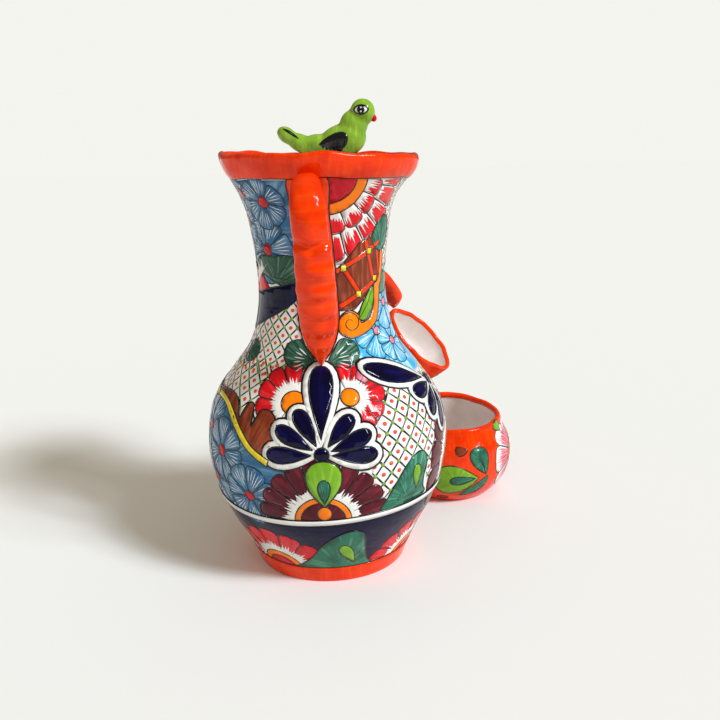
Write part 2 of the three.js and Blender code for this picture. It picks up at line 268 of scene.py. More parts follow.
def smooth_curve(heights, radii):
    """A rounded run of radii against height, through the rings of the CAD wall."""
    up = np.arange(heights[0], heights[-1] + CURVE_STEP / 2, CURVE_STEP)
    slopes = np.gradient(radii, heights)
    out = []
    for height in up:
        i = int(np.clip(np.searchsorted(heights, height) - 1, 0, len(heights) - 2))
        span = heights[i + 1] - heights[i]
        t = (height - heights[i]) / span
        out.append(
            (2 * t ** 3 - 3 * t ** 2 + 1) * radii[i] + (t ** 3 - 2 * t ** 2 + t) * span * slopes[i]
            + (3 * t ** 2 - 2 * t ** 3) * radii[i + 1] + (t ** 3 - t ** 2) * span * slopes[i + 1]
        )
    return up, np.array(out)


def rings_of(names, place):
    """The outer radius of every ring of points of some turned CAD nodes, in mm, from low to high."""
    back = place.inverted()
    rings = {}
    for name in names:
        for vertex in NODES[name].data.vertices:
            x, y, z = back @ vertex.co
            height = round(z, 1)
            rings[height] = max(rings.get(height, 0), math.hypot(x, y))
    heights = [height for height in sorted(rings) if rings[height] > MIN_RING]
    kept = [height for i, height in enumerate(heights) if i == 0 or height - heights[i - 1] > 1.0]
    return np.array(kept), np.array([rings[height] for height in kept])


def ease(value, low, high):
    t = min(max((value - low) / (high - low), 0.0), 1.0)
    return t * t * (3 - 2 * t)


CLEAR = 1.8
DEEPEST = 4.0


class Wall:
    """The outside of a turned vessel. A place on it is an azimuth in radians, counted from -Y towards
    +X, and a run in mm up the wall from its foot. A vessel that stands beside another is pressed flat
    where it would cut into it."""

    def __init__(self, name, rings, place, dents, seed, shape=None, skin=0.0, beside=None):
        self.name = name
        self.beside = beside
        self.up, self.radii = smooth_curve(*rings)
        steps = np.hypot(np.diff(self.up), np.diff(self.radii))
        self.runs = np.concatenate([[0], np.cumsum(steps)])
        self.slopes = np.gradient(self.radii, self.up)
        self.place = place
        self.dents = dents
        self.seed = seed
        self.shape = shape
        self.skin = skin

    def radius(self, height):
        return float(np.interp(height, self.up, self.radii))

    def run(self, height):
        return float(np.interp(height, self.up, self.runs))

    def height(self, run):
        return float(np.interp(run, self.runs, self.up))

    def settle(self, azimuth, height, radius):
        """Moves a perfect place to where the hand left it."""
        c, s = math.sin(azimuth), -math.cos(azimuth)
        deep = min(max(0.0, self.radius(height) - radius), DEEPEST)
        wide = noise.noise(Vector((c * 1.2 + self.seed, s * 1.2, height / 75)))
        small = noise.noise(Vector((c * 4 + self.seed, s * 4, height / 19)))
        radius += self.dents * (wide + 0.12 * small)
        if self.shape:
            radius, height = self.shape(azimuth, height, radius)
        place = self.place @ Vector((radius * c, radius * s, height))
        return self.beside.push_out(place, deep) if self.beside else place

    def push_out(self, place, deep):
        """Presses a place of another vessel flat against this one."""
        x, y, z = place / MM
        radius = math.hypot(x, y)
        reach = self.radius(z) + CLEAR + deep
        return place if radius > reach else Vector((x * reach / radius, y * reach / radius, z)) * MM

    def point(self, azimuth, run, lift):
        height = self.height(run)
        slope = float(np.interp(height, self.up, self.slopes))
        norm = math.hypot(1, slope)
        radius = self.radius(height) + lift / norm
        return self.settle(azimuth, height - lift * slope / norm, radius)

    def stations(self, low, high, step, lift):
        """Rings up the outside of the vessel, a lift out from its skin."""
        out = []
        for height in np.linspace(low, high, max(2, int((high - low) / step) + 1)):
            slope = float(np.interp(height, self.up, self.slopes))
            norm = math.hypot(1, slope)
            out.append((self.radius(height) + lift / norm, height - lift * slope / norm))
        return out


JUG_PRESSED = (352, 398)        # the heights between which each rim was pressed
BOWL_PRESSED = (60, 98)
CUP_PRESSED = (-30, 0)


def jug_rim(azimuth, height, radius):
    """The collar was pressed wavy between finger and thumb."""
    near_rim = ease(height, *JUG_PRESSED)
    presses = math.sin(11 * azimuth + 0.8) + 0.6 * math.sin(5 * azimuth + 2.0)
    waves = math.sin(3 * azimuth + 1.1) + 0.7 * math.sin(8 * azimuth + 0.4) + 0.5 * math.sin(13 * azimuth)
    lean = -2.8 * math.sin(azimuth)
    radius += near_rim * (0.8 * presses + 2.0 * math.sin(azimuth))
    return radius, height + near_rim * (1.0 * waves + lean - 0.8)


def bowl_rim(azimuth, height, radius):
    near_rim = ease(height, *BOWL_PRESSED)
    waves = math.sin(2 * azimuth + 0.4) + 0.5 * math.sin(7 * azimuth) + 0.3 * math.sin(12 * azimuth + 1)
    lean = -5.0 * math.cos(azimuth - 0.35)
    return radius + near_rim * 0.5 * math.sin(5 * azimuth), height + near_rim * (0.7 * waves + lean - 1.0)


CUP_OVAL_TOWARDS = math.radians(27.5)


def cup_rim(azimuth, height, radius):
    near_rim = ease(height, *CUP_PRESSED)
    waves = math.sin(3 * azimuth + 2.0) + 0.7 * math.sin(8 * azimuth) + 0.4 * math.sin(13 * azimuth + 1)
    oval = 3.8 * math.cos(2 * (azimuth - CUP_OVAL_TOWARDS))
    radius += near_rim * (oval + 0.6 * math.sin(6 * azimuth + 1))
    return radius, height + near_rim * (0.6 * waves - 0.6)


JUG_NODES = ["foot_ring", "lower_belly_wall", "upper_belly_wall", "shoulder_wall",
             "lower_neck_wall", "upper_neck_wall", "rim_collar"]
BOWL_NODES = ["bowl_floor", "lower_bowl_wall", "upper_bowl_wall"]
CUP_NODES = ["cup_wall", "cup_rim_coil"]
BOWL_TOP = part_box("bowl_rim_coil")[1].z / MM


def drawn_on(rings, top):
    """Carries the profile of a wall straight on, up to a height."""
    heights, radii = rings
    slope = (radii[-1] - radii[-2]) / (heights[-1] - heights[-2])
    return np.append(heights, top), np.append(radii, radii[-1] + 0.5 * slope * (top - heights[-1]))


def middle_of(name):
    low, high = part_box(name)
    return (low + high) / 2


CUP_LEAN = math.radians(47.5)
CUP_LEAN_TOWARDS = math.radians(-24)
CUP_AXIS = Vector((math.sin(CUP_LEAN) * math.cos(CUP_LEAN_TOWARDS),
                   math.sin(CUP_LEAN) * math.sin(CUP_LEAN_TOWARDS), math.cos(CUP_LEAN)))
CUP_COIL_MIDDLE = middle_of("cup_rim_coil") + Vector((0, 1.8, -1.4)) * MM

JUG_PLACE = Matrix.Scale(MM, 4)
BOWL_PLACE = Matrix.Translation(middle_of("upper_bowl_wall") * Vector((1, 1, 0))) @ JUG_PLACE
CUP_PLACE = (Matrix.Translation(CUP_COIL_MIDDLE) @ CUP_AXIS.to_track_quat("Z", "Y").to_matrix().to_4x4()
             @ JUG_PLACE)

DENTS = 0.9
SKIN = 0.8
BOWL_RINGS = drawn_on(rings_of(BOWL_NODES, BOWL_PLACE), BOWL_TOP)

JUG = Wall("jug", rings_of(JUG_NODES, JUG_PLACE), JUG_PLACE, DENTS, 3.0, jug_rim)
BOWL = Wall("bowl", BOWL_RINGS, BOWL_PLACE, DENTS, 11.0, bowl_rim, SKIN)
CUP = Wall("cup", rings_of(CUP_NODES, CUP_PLACE), CUP_PLACE, DENTS, 23.0, cup_rim, SKIN, JUG)

RIM_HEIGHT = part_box("rim_collar")[1].z / MM
COLLAR_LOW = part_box("rim_collar")[0].z / MM
COLLAR_EDGE = COLLAR_LOW + 1.5
FOOT_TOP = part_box("foot_ring")[1].z / MM
RING_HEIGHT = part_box("lower_belly_wall")[1].z / MM
FLOOR_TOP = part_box("base_disc")[1].z / MM
FLOOR_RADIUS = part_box("base_disc")[1].x / MM
JUG_THICK = 7.0
BOWL_THICK = 4.6
CUP_THICK = 3.4
BOWL_LIP = 94.0
CUP_LIP = -0.5
CUP_FOOT = CUP.up[0] + 1
FOOT_LIFT = 0.6         # the clay stops just short of the ground


# ---- pieces ----

def keep(piece, slot, replaced=()):
    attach(piece, "root")
    if replaced:
        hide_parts(*replaced)
    return piece


def write_strokes(mesh, strokes):
    layer = mesh.attributes.new("stroke", "FLOAT_VECTOR", "POINT")
    layer.data.foreach_set("vector", np.array(strokes, np.float32).ravel())


def make_smooth(piece):
    piece.data.polygons.foreach_set("use_smooth", [True] * len(piece.data.polygons))
    piece.data.update()


def glaze_piece(piece, material, rule):
    """Covers a piece with one glaze. The rule turns a place into its brush coordinate."""
    write_strokes(piece.data, [rule(vertex.co) for vertex in piece.data.vertices])
    piece.data.materials.clear()
    piece.data.materials.append(material)


def start_alone():
    bpy.ops.object.select_all(action="DESELECT")


def face_outwards():
    """Turns every face of the piece in edit mode outwards and leaves edit mode."""
    bpy.ops.mesh.select_all(action="SELECT")
    bpy.ops.mesh.normals_make_consistent(inside=False)
    bpy.ops.object.mode_set(mode="OBJECT")


def pull_up(name, stations, turns, closed=True):
    """Throws a wall: a ring is pulled up through stations of (radius, height) in mm and welded shut."""
    start_alone()
    bpy.ops.mesh.primitive_circle_add(vertices=turns, radius=stations[0][0] * MM, fill_type="NOTHING")
    piece = bpy.context.active_object
    piece.name = name
    piece.data.name = name
    bpy.ops.object.mode_set(mode="EDIT")
    bpy.ops.transform.translate(value=(0, 0, stations[0][1] * MM))
    for (radius, height), (next_radius, next_height) in zip(stations, stations[1:]):
        rise = (0, 0, (next_height - height) * MM)
        bpy.ops.mesh.extrude_region_move(TRANSFORM_OT_translate={"value": rise})
        grow = next_radius / radius
        bpy.ops.transform.resize(value=(grow, grow, 1), center_override=(0, 0, next_height * MM))
    bpy.ops.mesh.select_all(action="DESELECT")
    bpy.ops.mesh.select_mode(type="EDGE")
    bpy.ops.mesh.select_non_manifold()
    if closed:
        bpy.ops.mesh.bridge_edge_loops()
    else:
        bpy.ops.mesh.fill_holes(sides=0)
    face_outwards()
    return piece


def settle_piece(piece, wall):
    """Moves a thrown piece on to its vessel, dents and all."""
    for vertex in piece.data.vertices:
        x, y, z = vertex.co / MM
        vertex.co = wall.settle(math.atan2(x, -y), z, math.hypot(x, y))
    make_smooth(piece)


def lip_stations(outer, inner, turns=6):
    """A half round from the last outside station over to the first inside one."""
    middle = ((outer[0] + inner[0]) / 2, (outer[1] + inner[1]) / 2)
    arm = (outer[0] - middle[0], outer[1] - middle[1])
    angles = [math.pi * i / turns for i in range(1, turns)]
    return [
        (middle[0] + arm[0] * math.cos(a) - arm[1] * math.sin(a),
         middle[1] + arm[0] * math.sin(a) + arm[1] * math.cos(a))
        for a in angles
    ]


def strokes_round(wall):
    back = wall.place.inverted()

    def rule(co):
        x, y, z = back @ co
        return math.atan2(x, -y) * 22, z / 30, 0.0
    return rule


JUG_TURNS = 168
BOWL_TURNS = 120
CUP_TURNS = 90
POT_FLOOR = ((0.86, 0.45), (0.6, 0.1), (0.25, 0), (0.02, 0))     # share of the radius, share of the rise
POT_CORNER = 5


def throw_jug():
    lip_top = RIM_HEIGHT - 12
    corner = FLOOR_TOP + 6
    hole = FLOOR_RADIUS + 0.5
    outside = JUG.stations(FOOT_LIFT, lip_top, 3.0, 0.0)
    inside = JUG.stations(corner, lip_top, 7.0, -JUG_THICK)[::-1]
    under = [(hole, 0), (JUG.radius(0) - 2, 0)]
    floor = [(JUG.radius(corner) - JUG_THICK - 6, FLOOR_TOP), (hole, FLOOR_TOP)]
    stations = under + outside + lip_stations(outside[-1], inside[0]) + inside + floor
    jug = pull_up("jug_wall", stations, JUG_TURNS)
    settle_piece(jug, JUG)
    glaze_piece(jug, WHITE, strokes_round(JUG))
    keep(jug, "painted_glaze", JUG_NODES[1:-1])


def throw_band(name, wall, low, high, lift, replaced, lip=None, turns=JUG_TURNS):
    """A band of orange glaze round a vessel. With a lip, given as how far down the inside it goes and
    how thick the wall is, the band folds over the rim."""
    outside = wall.stations(low, high, 3.0, lift)
    outside = [(outside[0][0] - lift * 0.7, outside[0][1] - 0.8)] + outside
    if lip:
        reach, thick = lip
        inside = wall.stations(high - reach, high, 3.0, -thick - lift)[::-1]
        core = wall.stations(low, high - 2, 6.0, -thick / 2)[::-1]
        stations = outside + lip_stations(outside[-1], inside[0], 8) + inside + core
    else:
        stations = outside + wall.stations(low, high, 6.0, -1.0)[::-1]
    band = pull_up(name, stations, turns)
    settle_piece(band, wall)
    glaze_piece(band, ORANGE, strokes_round(wall))
    return keep(band, "orange_glaze", replaced)


def throw_pot(name, wall, low, lip_top, thick, floor_height, replaced, turns):
    """A small vessel with a floor: outside, lip, inside, and round to its own glazed underside."""
    outside = wall.stations(low, lip_top, 3.0, 0.0)
    inside = wall.stations(floor_height + POT_CORNER, lip_top, 4.0, -thick)[::-1]
    inner = inside[-1][0]
    floor = [(inner * share, floor_height + POT_CORNER * rise) for share, rise in POT_FLOOR]
    under = [(outside[0][0] * share, low) for share in (0.02, 0.5, 0.93)]
    stations = under + outside + lip_stations(outside[-1], inside[0]) + inside + floor
    pot = pull_up(name, stations, turns, False)
    settle_piece(pot, wall)
    # the inside glaze carries painted bounced light: a pink cast, and lighter than the white glaze
    glaze_piece(pot, INNER_GLAZE_PAINTED_BOUNCE, strokes_round(wall))
    pot.data.materials.append(ORANGE)
    back = wall.place.inverted()
    for face in pot.data.polygons:
        if (back @ face.center).z < low + 1.0:
            face.material_index = 1
    return keep(pot, "white_glaze", replaced)


# ---- painting ----

FIRST_COAT = 0.12
COAT = 0.10
LINE_LIFT = 0.06
SINK = 0.5
FINE = 0.8              # the width of the thinnest brush line
RAYS = 5
STREAK = (0.16, 0.03)   # how close the brush streaks are across and along a stroke
BELT_TURNS = 160
BELT_ROW = 5.0
POTS = {}               # all the paint of one glaze on one vessel


def resample(loop, step, closed=True):
    """Points along a line of places, no further apart than the step in mm."""
    out = []
    count = len(loop) if closed else len(loop) - 1
    for i in range(count):
        a, b = loop[i], loop[(i + 1) % len(loop)]
        parts = max(1, int(math.ceil(math.dist(a, b) / step)))
        out += [(a[0] + (b[0] - a[0]) * k / parts, a[1] + (b[1] - a[1]) * k / parts) for k in range(parts)]
    if not closed:
        out.append(loop[-1])
    return out


def inside_loop(x, y, loop):
    crossed = False
    for (ax, ay), (bx, by) in zip(loop, loop[1:] + loop[:1]):
        if (ay > y) != (by > y) and x < (bx - ax) * (y - ay) / (by - ay) + ax:
            crossed = not crossed
    return crossed


def rounded(points, closed=True, parts=5):
    """A smooth line through a few points."""
    n = len(points)
    out = []
    for i in range(n if closed else n - 1):
        p = [points[(i + k) % n] if closed else points[min(max(i + k, 0), n - 1)] for k in (-1, 0, 1, 2)]
        for j in range(parts):
            t = j / parts
            out.append(tuple(
                0.5 * (2 * p[1][d] + (p[2][d] - p[0][d]) * t
                       + (2 * p[0][d] - 5 * p[1][d] + 4 * p[2][d] - p[3][d]) * t * t
                       + (3 * p[1][d] - p[0][d] - 3 * p[2][d] + p[3][d]) * t ** 3)
                for d in (0, 1)
            ))
    if not closed:
        out.append(points[-1])
    return out


class Panel:
    """A side of a vessel that is painted as one design, straight or mirrored."""

    def __init__(self, wall, base=0.0, flip=False, rise=0.0):
        self.wall = wall
        self.base = math.radians(base)
        self.flip = flip
        self.rise = rise

    def sheet(self, degrees, height, turn=0.0):
        return Sheet(self, degrees, height, turn)


class Sheet:
    """Drawing paper laid on a panel: x runs to the right and y up the wall, in mm, from an anchor that
    is given in degrees from the panel's middle and mm of height."""

    def __init__(self, panel, degrees, height, turn=0.0):
        self.panel = panel
        self.wall = panel.wall
        self.name = panel.wall.name
        self.line_name = self.name + ("_back" if panel.flip else "")
        self.flip = panel.flip
        self.azimuth = math.radians(degrees)
        self.run = self.wall.run(height)
        self.cos, self.sin = math.cos(math.radians(turn)), math.sin(math.radians(turn))

    def place(self, x, y, lift):
        x, y = x * self.cos - y * self.sin, x * self.sin + y * self.cos
        run = self.run + y
        azimuth = self.azimuth + x / self.wall.radius(self.wall.height(run))
        if self.flip:
            azimuth = -azimuth
        return self.wall.point(self.panel.base + azimuth, run, lift + self.wall.skin + self.panel.rise)

    def at(self, *spots):
        """Turns spots in degrees and mm of height into places on the paper."""
        out = []
        for degrees, height in spots:
            x = (math.radians(degrees) - self.azimuth) * self.wall.radius(height)
            y = self.wall.run(height) - self.run
            out.append((x * self.cos + y * self.sin, y * self.cos - x * self.sin))
        return out


def pot_of(name, glaze_used):
    empty = {"glaze": glaze_used, "points": [], "faces": [], "strokes": []}
    return POTS.setdefault((name, glaze_used.name), empty)


def paint(colour, sheet, loop, level, heart=(0, 0), step=2.6, cell=4.5):
    """Lays one closed shape of glaze on the sheet, sunk a little into the wall. Brush strokes run out
    from the heart, or up the sheet where there is none."""
    loop = resample(loop, step)
    xs, ys = [p[0] for p in loop], [p[1] for p in loop]
    seeds = [Vector(p) for p in loop]
    edge = np.array(loop)
    for i in range(int((max(xs) - min(xs)) / cell) + 1):
        for j in range(int((max(ys) - min(ys)) / cell) + 1):
            x = min(xs) + (i + 0.25 + 0.5 * (j % 2)) * cell
            y = min(ys) + (j + 0.5) * cell
            nearest = np.min((edge[:, 0] - x) ** 2 + (edge[:, 1] - y) ** 2)
            if nearest > (0.35 * cell) ** 2 and inside_loop(x, y, loop):
                seeds.append(Vector((x, y)))
    flat, _, triangles, *_ = delaunay_2d_cdt(seeds, [], [list(range(len(loop)))], 1, 1e-4)
    pot = pot_of(sheet.name, colour)
    points, faces, strokes = pot["points"], pot["faces"], pot["strokes"]
    base, count = len(points), len(flat)
    seed = (len(points) % 97) * 0.7
    for depth in (FIRST_COAT + COAT * level, -SINK):
        for p in flat:
            points.append(sheet.place(p.x, p.y, depth))
            if heart:
                dx, dy = p.x - heart[0], p.y - heart[1]
                turned = math.degrees(math.atan2(dy, dx)) % 360
                strokes.append((turned * STREAK[0], math.hypot(dx, dy) * STREAK[1], seed))
            else:
                strokes.append((p.x * STREAK[0] * 2, p.y * STREAK[1], seed))
    edges = set()
    for triangle in triangles:
        a, b, c = triangle[:3]
        p, q, r = flat[a], flat[b], flat[c]
        turn = (q.x - p.x) * (r.y - p.y) - (q.y - p.y) * (r.x - p.x)
        if abs(turn) < 1e-5:
            continue
        if (turn < 0) != sheet.flip:
            a, b, c = a, c, b
        faces.append((base + a, base + b, base + c))
        faces.append((base + count + a, base + count + c, base + count + b))
        edges.update(((a, b), (b, c), (c, a)))
    for a, b in edges:
        if (b, a) not in edges:
            faces.append((base + b, base + a, base + count + a, base + count + b))


def ink(sheet, line, level, width=1.2, closed=True, colour=None, step=2.4):
    """Draws a raised line along a loop or an open stroke. A hand-drawn line swells and thins."""
    line = resample(line, step, closed)
    count = len(line)
    if count < 3:
        return
    pot = pot_of(sheet.name, colour) if colour else pot_of(sheet.line_name, LINE)
    points, faces, strokes = pot["points"], pot["faces"], pot["strokes"]
    base = len(points)
    phase = (base % 89) * 0.9
    top = FIRST_COAT + COAT * level + LINE_LIFT
    section = ((1, -SINK), (0.85, top - 0.03), (0, top), (-0.85, top - 0.03), (-1, -SINK))
    ring = len(section)
    for i, (x, y) in enumerate(line):
        before = line[i - 1] if closed or i > 0 else line[0]
        after = line[(i + 1) % count] if closed or i < count - 1 else line[-1]
        dx, dy = after[0] - before[0], after[1] - before[1]
        length = math.hypot(dx, dy) or 1.0
        swell = 1 + 0.45 * noise.noise(Vector((i * step / 9 + phase, phase, 0)))
        if not closed:
            swell *= 0.35 + 0.65 * min(1.0, min(i, count - 1 - i) * step / 4)
        half = width / 2 * swell
        sx, sy = -dy / length * half, dx / length * half
        for side, lift in section:
            points.append(sheet.place(x + sx * side, y + sy * side, lift))
            strokes.append((i * step * 0.05, side * 0.5, phase))
    for i in range(count if closed else count - 1):
        here, there = base + i * ring, base + (i + 1) % count * ring
        for k in range(ring):
            n = (k + 1) % ring
            face = (here + k, here + n, there + n, there + k)
            faces.append(face if sheet.flip else face[::-1])
    if not closed:
        first = tuple(base + k for k in range(ring))
        last = tuple(base + (count - 1) * ring + k for k in range(ring))
        faces += [first, last[::-1]] if not sheet.flip else [first[::-1], last]


def motif(colour, sheet, loop, level, heart=(0, 0), edge=1.2):
    """Paints a shape and draws its black outline."""
    paint(colour, sheet, loop, level, heart)
    ink(sheet, loop, level, edge)


def belt(colour, wall, low, high, level):
    """Paints right round a vessel between two edges, each a function from azimuth to height."""
    pot = pot_of(wall.name, colour)
    points, faces, strokes = pot["points"], pot["faces"], pot["strokes"]
    base = len(points)
    lift = FIRST_COAT + COAT * level + wall.skin
    rows = max(1, int((wall.run(high(0)) - wall.run(low(0))) / BELT_ROW))
    ring = 2 * (rows + 1)
    for i in range(BELT_TURNS):
        azimuth = 2 * math.pi * i / BELT_TURNS
        start, stop = wall.run(low(azimuth)), wall.run(high(azimuth))
        runs = [start + (stop - start) * j / rows for j in range(rows + 1)]
        over = [(run, lift) for run in runs]
        under = [(run, wall.skin - SINK) for run in reversed(runs)]
        for run, depth in over + under:
            points.append(wall.point(azimuth, run, depth))
            strokes.append((run * STREAK[0] * 2, math.sin(azimuth) * 2, math.cos(azimuth) * 2))
    for i in range(BELT_TURNS):
        here, there = base + i * ring, base + (i + 1) % BELT_TURNS * ring
        for k in range(ring):
            n = (k + 1) % ring
            faces.append((here + k, there + k, there + n, here + n))


def fire_paint():
    """Makes one piece from all that was painted on a vessel with the same glaze."""
    for (name, colour), pot in POTS.items():
        title = f"{name}_{colour}"
        mesh = bpy.data.meshes.new(title)
        mesh.from_pydata([tuple(point) for point in pot["points"]], [], pot["faces"])
        mesh.validate()
        mesh.materials.append(pot["glaze"])
        write_strokes(mesh, pot["strokes"])
        piece = bpy.data.objects.new(title, mesh)
        bpy.context.scene.collection.objects.link(piece)
        make_smooth(piece)
        keep(piece, "painted_glaze")


# ---- brush shapes ----

def polar(radius, degrees, centre=(0, 0)):
    angle = math.radians(degrees)
    return centre[0] + radius * math.cos(angle), centre[1] + radius * math.sin(angle)


def disc(x, y, radius, sides=18, squash=1.0):
    turns = [2 * math.pi * i / sides for i in range(sides)]
    return [(x + radius * math.cos(turn), y + squash * radius * math.sin(turn)) for turn in turns]


ARCH_SIDES = 22
PETAL_SIDES = 12
PETAL_SHOULDER = 0.80
DROP_SIDES = 24


def arch(radius):
    """A half round that stands on its straight side."""
    return [polar(radius, 180 * i / ARCH_SIDES) for i in range(ARCH_SIDES + 1)]


def petal(inner, outer, middle, half, blunt=2.4):
    """A petal between two radii: its sides run out to the shoulder, and its end is rounded."""
    out = [polar(inner, middle - half * 0.9)]
    for i in range(PETAL_SIDES + 1):
        t = -1 + 2 * i / PETAL_SIDES
        reach = (1 - abs(t) ** blunt) ** (1 / blunt)
        share = PETAL_SHOULDER + (1 - PETAL_SHOULDER) * reach
        out.append(polar(inner + (outer - inner) * share, middle + half * t))
    out.append(polar(inner, middle + half * 0.9))
    return out


def burst(inner, low, high, start, stop, pitch=3.0, seed="burst"):
    """A white burst: a ring part whose outer edge is torn into brush tips."""
    rng = random.Random(seed)
    teeth = max(4, int(math.radians(stop - start) * high / pitch))
    out = []
    for i in range(teeth):
        a = start + (stop - start) * i / teeth
        b = start + (stop - start) * (i + 0.5 + rng.uniform(-0.2, 0.2)) / teeth
        out.append(polar(low * rng.uniform(0.93, 1.05), a))
        out.append(polar(high * rng.uniform(0.86, 1.10), b))
    out.append(polar(low, stop))
    span = max(2, int(abs(stop - start) / 10))
    out += [polar(inner, stop + (start - stop) * i / span) for i in range(span + 1)]
    return out


def drop(base, tip, width, angle, fullness, centre=(0, 0)):
    """A drop whose point is at the base radius and whose round end is at the tip radius."""
    c, s = math.cos(math.radians(angle)), math.sin(math.radians(angle))
    out = []
    for i in range(DROP_SIDES):
        t = 2 * math.pi * i / DROP_SIDES
        share = 0.5 - 0.5 * math.cos(t)
        along = base + (tip - base) * share
        across = width / 2 * math.sin(t) * share ** fullness * 1.35
        out.append((centre[0] + along * c + across * s, centre[1] + along * s - across * c))
    return out


def veins(sheet, start, tips, level):
    for tip in tips:
        middle = ((start[0] + tip[0]) / 2, (start[1] + tip[1]) / 2 + 1)
        ink(sheet, [start, middle, tip], level, FINE, False)


# ---- motifs ----

FAN_SIDE_PETALS = ((50, 43), (20, 47), (-4, 50), (119, 45), (151, 46), (182, 50))     # angle, reach
CROWN_BASE = 13.0
CROWN_TIP = 81.0


def fan(panel, degrees, height, turn, level, leave_out=()):
    """Navy petals spread from a ball under one tall petal, each in a white halo with a black edge."""
    sheet = panel.sheet(degrees, height, turn)
    petals = [(90, CROWN_BASE, CROWN_TIP, 23, 0.75)]
    petals += [(angle, 9, tip, 15, 0.6) for angle, tip in FAN_SIDE_PETALS if angle not in leave_out]
    for angle, base, tip, width, fullness in petals:
        paint(LINE, sheet, drop(base - 8, tip + 6.1, width + 12.6, angle, fullness * 0.8), level)
    for angle, base, tip, width, fullness in petals:
        paint(WHITE, sheet, drop(base - 7, tip + 4.4, width + 9.2, angle, fullness * 0.8), level + 1)
    for angle, base, tip, width, fullness in petals:
        motif(COBALT, sheet, drop(base, tip, width, angle, fullness), level + 2, edge=1.5)
    motif(COBALT, sheet, disc(0, 0, 6.4), level + 3, edge=1.5)


def bloom(sheet, colour, middles, half, core, reach, torn, level, seed):
    """A row of petals with a torn white burst between them and the core."""
    for middle in middles:
        motif(colour, sheet, petal(core * 0.85, reach, middle, half), level, edge=1.1)
    low, high = torn
    start, stop = min(middles) - half, max(middles) + half
    paint(WHITE, sheet, burst(core * 0.8, low, high, start, stop, seed=seed), level + 1)
    for middle in middles[:-1]:
        line = [polar(radius, middle + half) for radius in (low * 0.9, high, high * 1.1)]
        ink(sheet, line, level + 1, FINE, False)


def lattice(sheet, outline, wide, tall, level, weight=1.5):
    """A white net of black diagonals with a red dot in every mesh and a green one on every knot."""
    outline = sheet.at(*outline)
    paint(WHITE, sheet, outline, level)
    xs, ys = [p[0] for p in outline], [p[1] for p in outline]
    slope = tall / wide
    low, high = min(ys), max(ys)
    for way in (1, -1):
        first = math.floor((low - max(way * slope * x for x in xs)) / tall)
        last = math.ceil((high - min(way * slope * x for x in xs)) / tall)
        for k in range(first, last + 1):
            stroke = []
            x = min(xs)
            while x <= max(xs):
                y = way * slope * x + k * tall + 0.5 * noise.noise(Vector((x / 9, k * 3.3, way)))
                if low <= y <= high and inside_loop(x, y, outline):
                    stroke.append((x, y))
                elif stroke:
                    ink(sheet, stroke, level, weight, False)
                    stroke = []
                x += 1.6
            if stroke:
                ink(sheet, stroke, level, weight, False)
    columns = range(math.floor(min(xs) / wide * 2), math.ceil(max(xs) / wide * 2) + 1)
    rows = range(math.floor(low / tall * 2), math.ceil(high / tall * 2) + 1)
    for i in columns:
        for j in rows:
            x = i * wide / 2 + 0.6 * noise.noise(Vector((i * 1.7, j * 2.3, 0)))
            y = j * tall / 2 + 0.6 * noise.noise(Vector((i * 1.7, j * 2.3, 5)))
            if inside_loop(x, y, outline):
                if (i + j) % 2:
                    paint(VERMILION, sheet, disc(x, y, 0.135 * wide, 9, 0.9), level + 1)
                else:
                    paint(MOSS, sheet, disc(x, y, 0.125 * wide, 8), level + 1)


def feathered(sheet, colour, middles, half, core, reach, level):
    """Petals combed with thin white brush lines from their ends inwards."""
    for middle in middles:
        motif(colour, sheet, petal(core * 0.8, reach, middle, half, 3.2), level, edge=1.1)
        for k in range(RAYS):
            angle = middle + half * 0.8 * (-1 + 2 * (k + 0.5) / RAYS)
            deep = reach * (0.45 + 0.12 * math.sin(angle * 1.7))
            line = [polar(deep, angle), polar(reach * 0.7, angle), polar(reach * 0.88, angle)]
            ink(sheet, line, level, FINE, False, WHITE)


def half_flower(sheet, level, core, ring, torn, reach, petals, colour, centre):
    """Half a flower standing on a band: core, amber ring, torn white burst and petals."""
    step = 180 / petals
    middles = [step * (k + 0.5) for k in range(petals)]
    bloom(sheet, colour, middles, step / 2, ring, reach, torn, level, f"half {reach}")
    motif(AMBER, sheet, arch(ring), level + 2)
    motif(centre, sheet, arch(core), level + 3)


def fan_flowers(panel):
    """The two red flowers that look out from behind the fan, and the lime drop's maroon flower."""
    left = panel.sheet(-15, 188)
    bloom(left, RED, [36, 67, 98, 131, 162, 193, 222], 15.8, 11, 38, (19, 23), 2, "left")
    motif(AMBER, left, disc(0, 0, 11), 4)
    right = panel.sheet(15, 191)
    bloom(right, RED, [-62, -31, 0, 31, 62, 93], 15.6, 9, 34, (16, 20), 2, "right")
    motif(PINK, right, petal(19, 34.5, 49, 17), 4)
    motif(AMBER, right, disc(0, 0, 8.5), 4)
    low = panel.sheet(-1, 83)
    half_flower(low, 4, 20, 25.5, (32, 37), 61, 10, MAROON, MAROON)
    motif(AMBER, low, disc(1.5, 8, 6.5, squash=1.15), 8)
    lime = panel.sheet(0, 98)
    motif(LIME, lime, drop(0, 44, 31, 90, 0.5), 9, edge=1.4)
    motif(TEAL, lime, drop(3, 27, 11, 90, 0.6), 10)


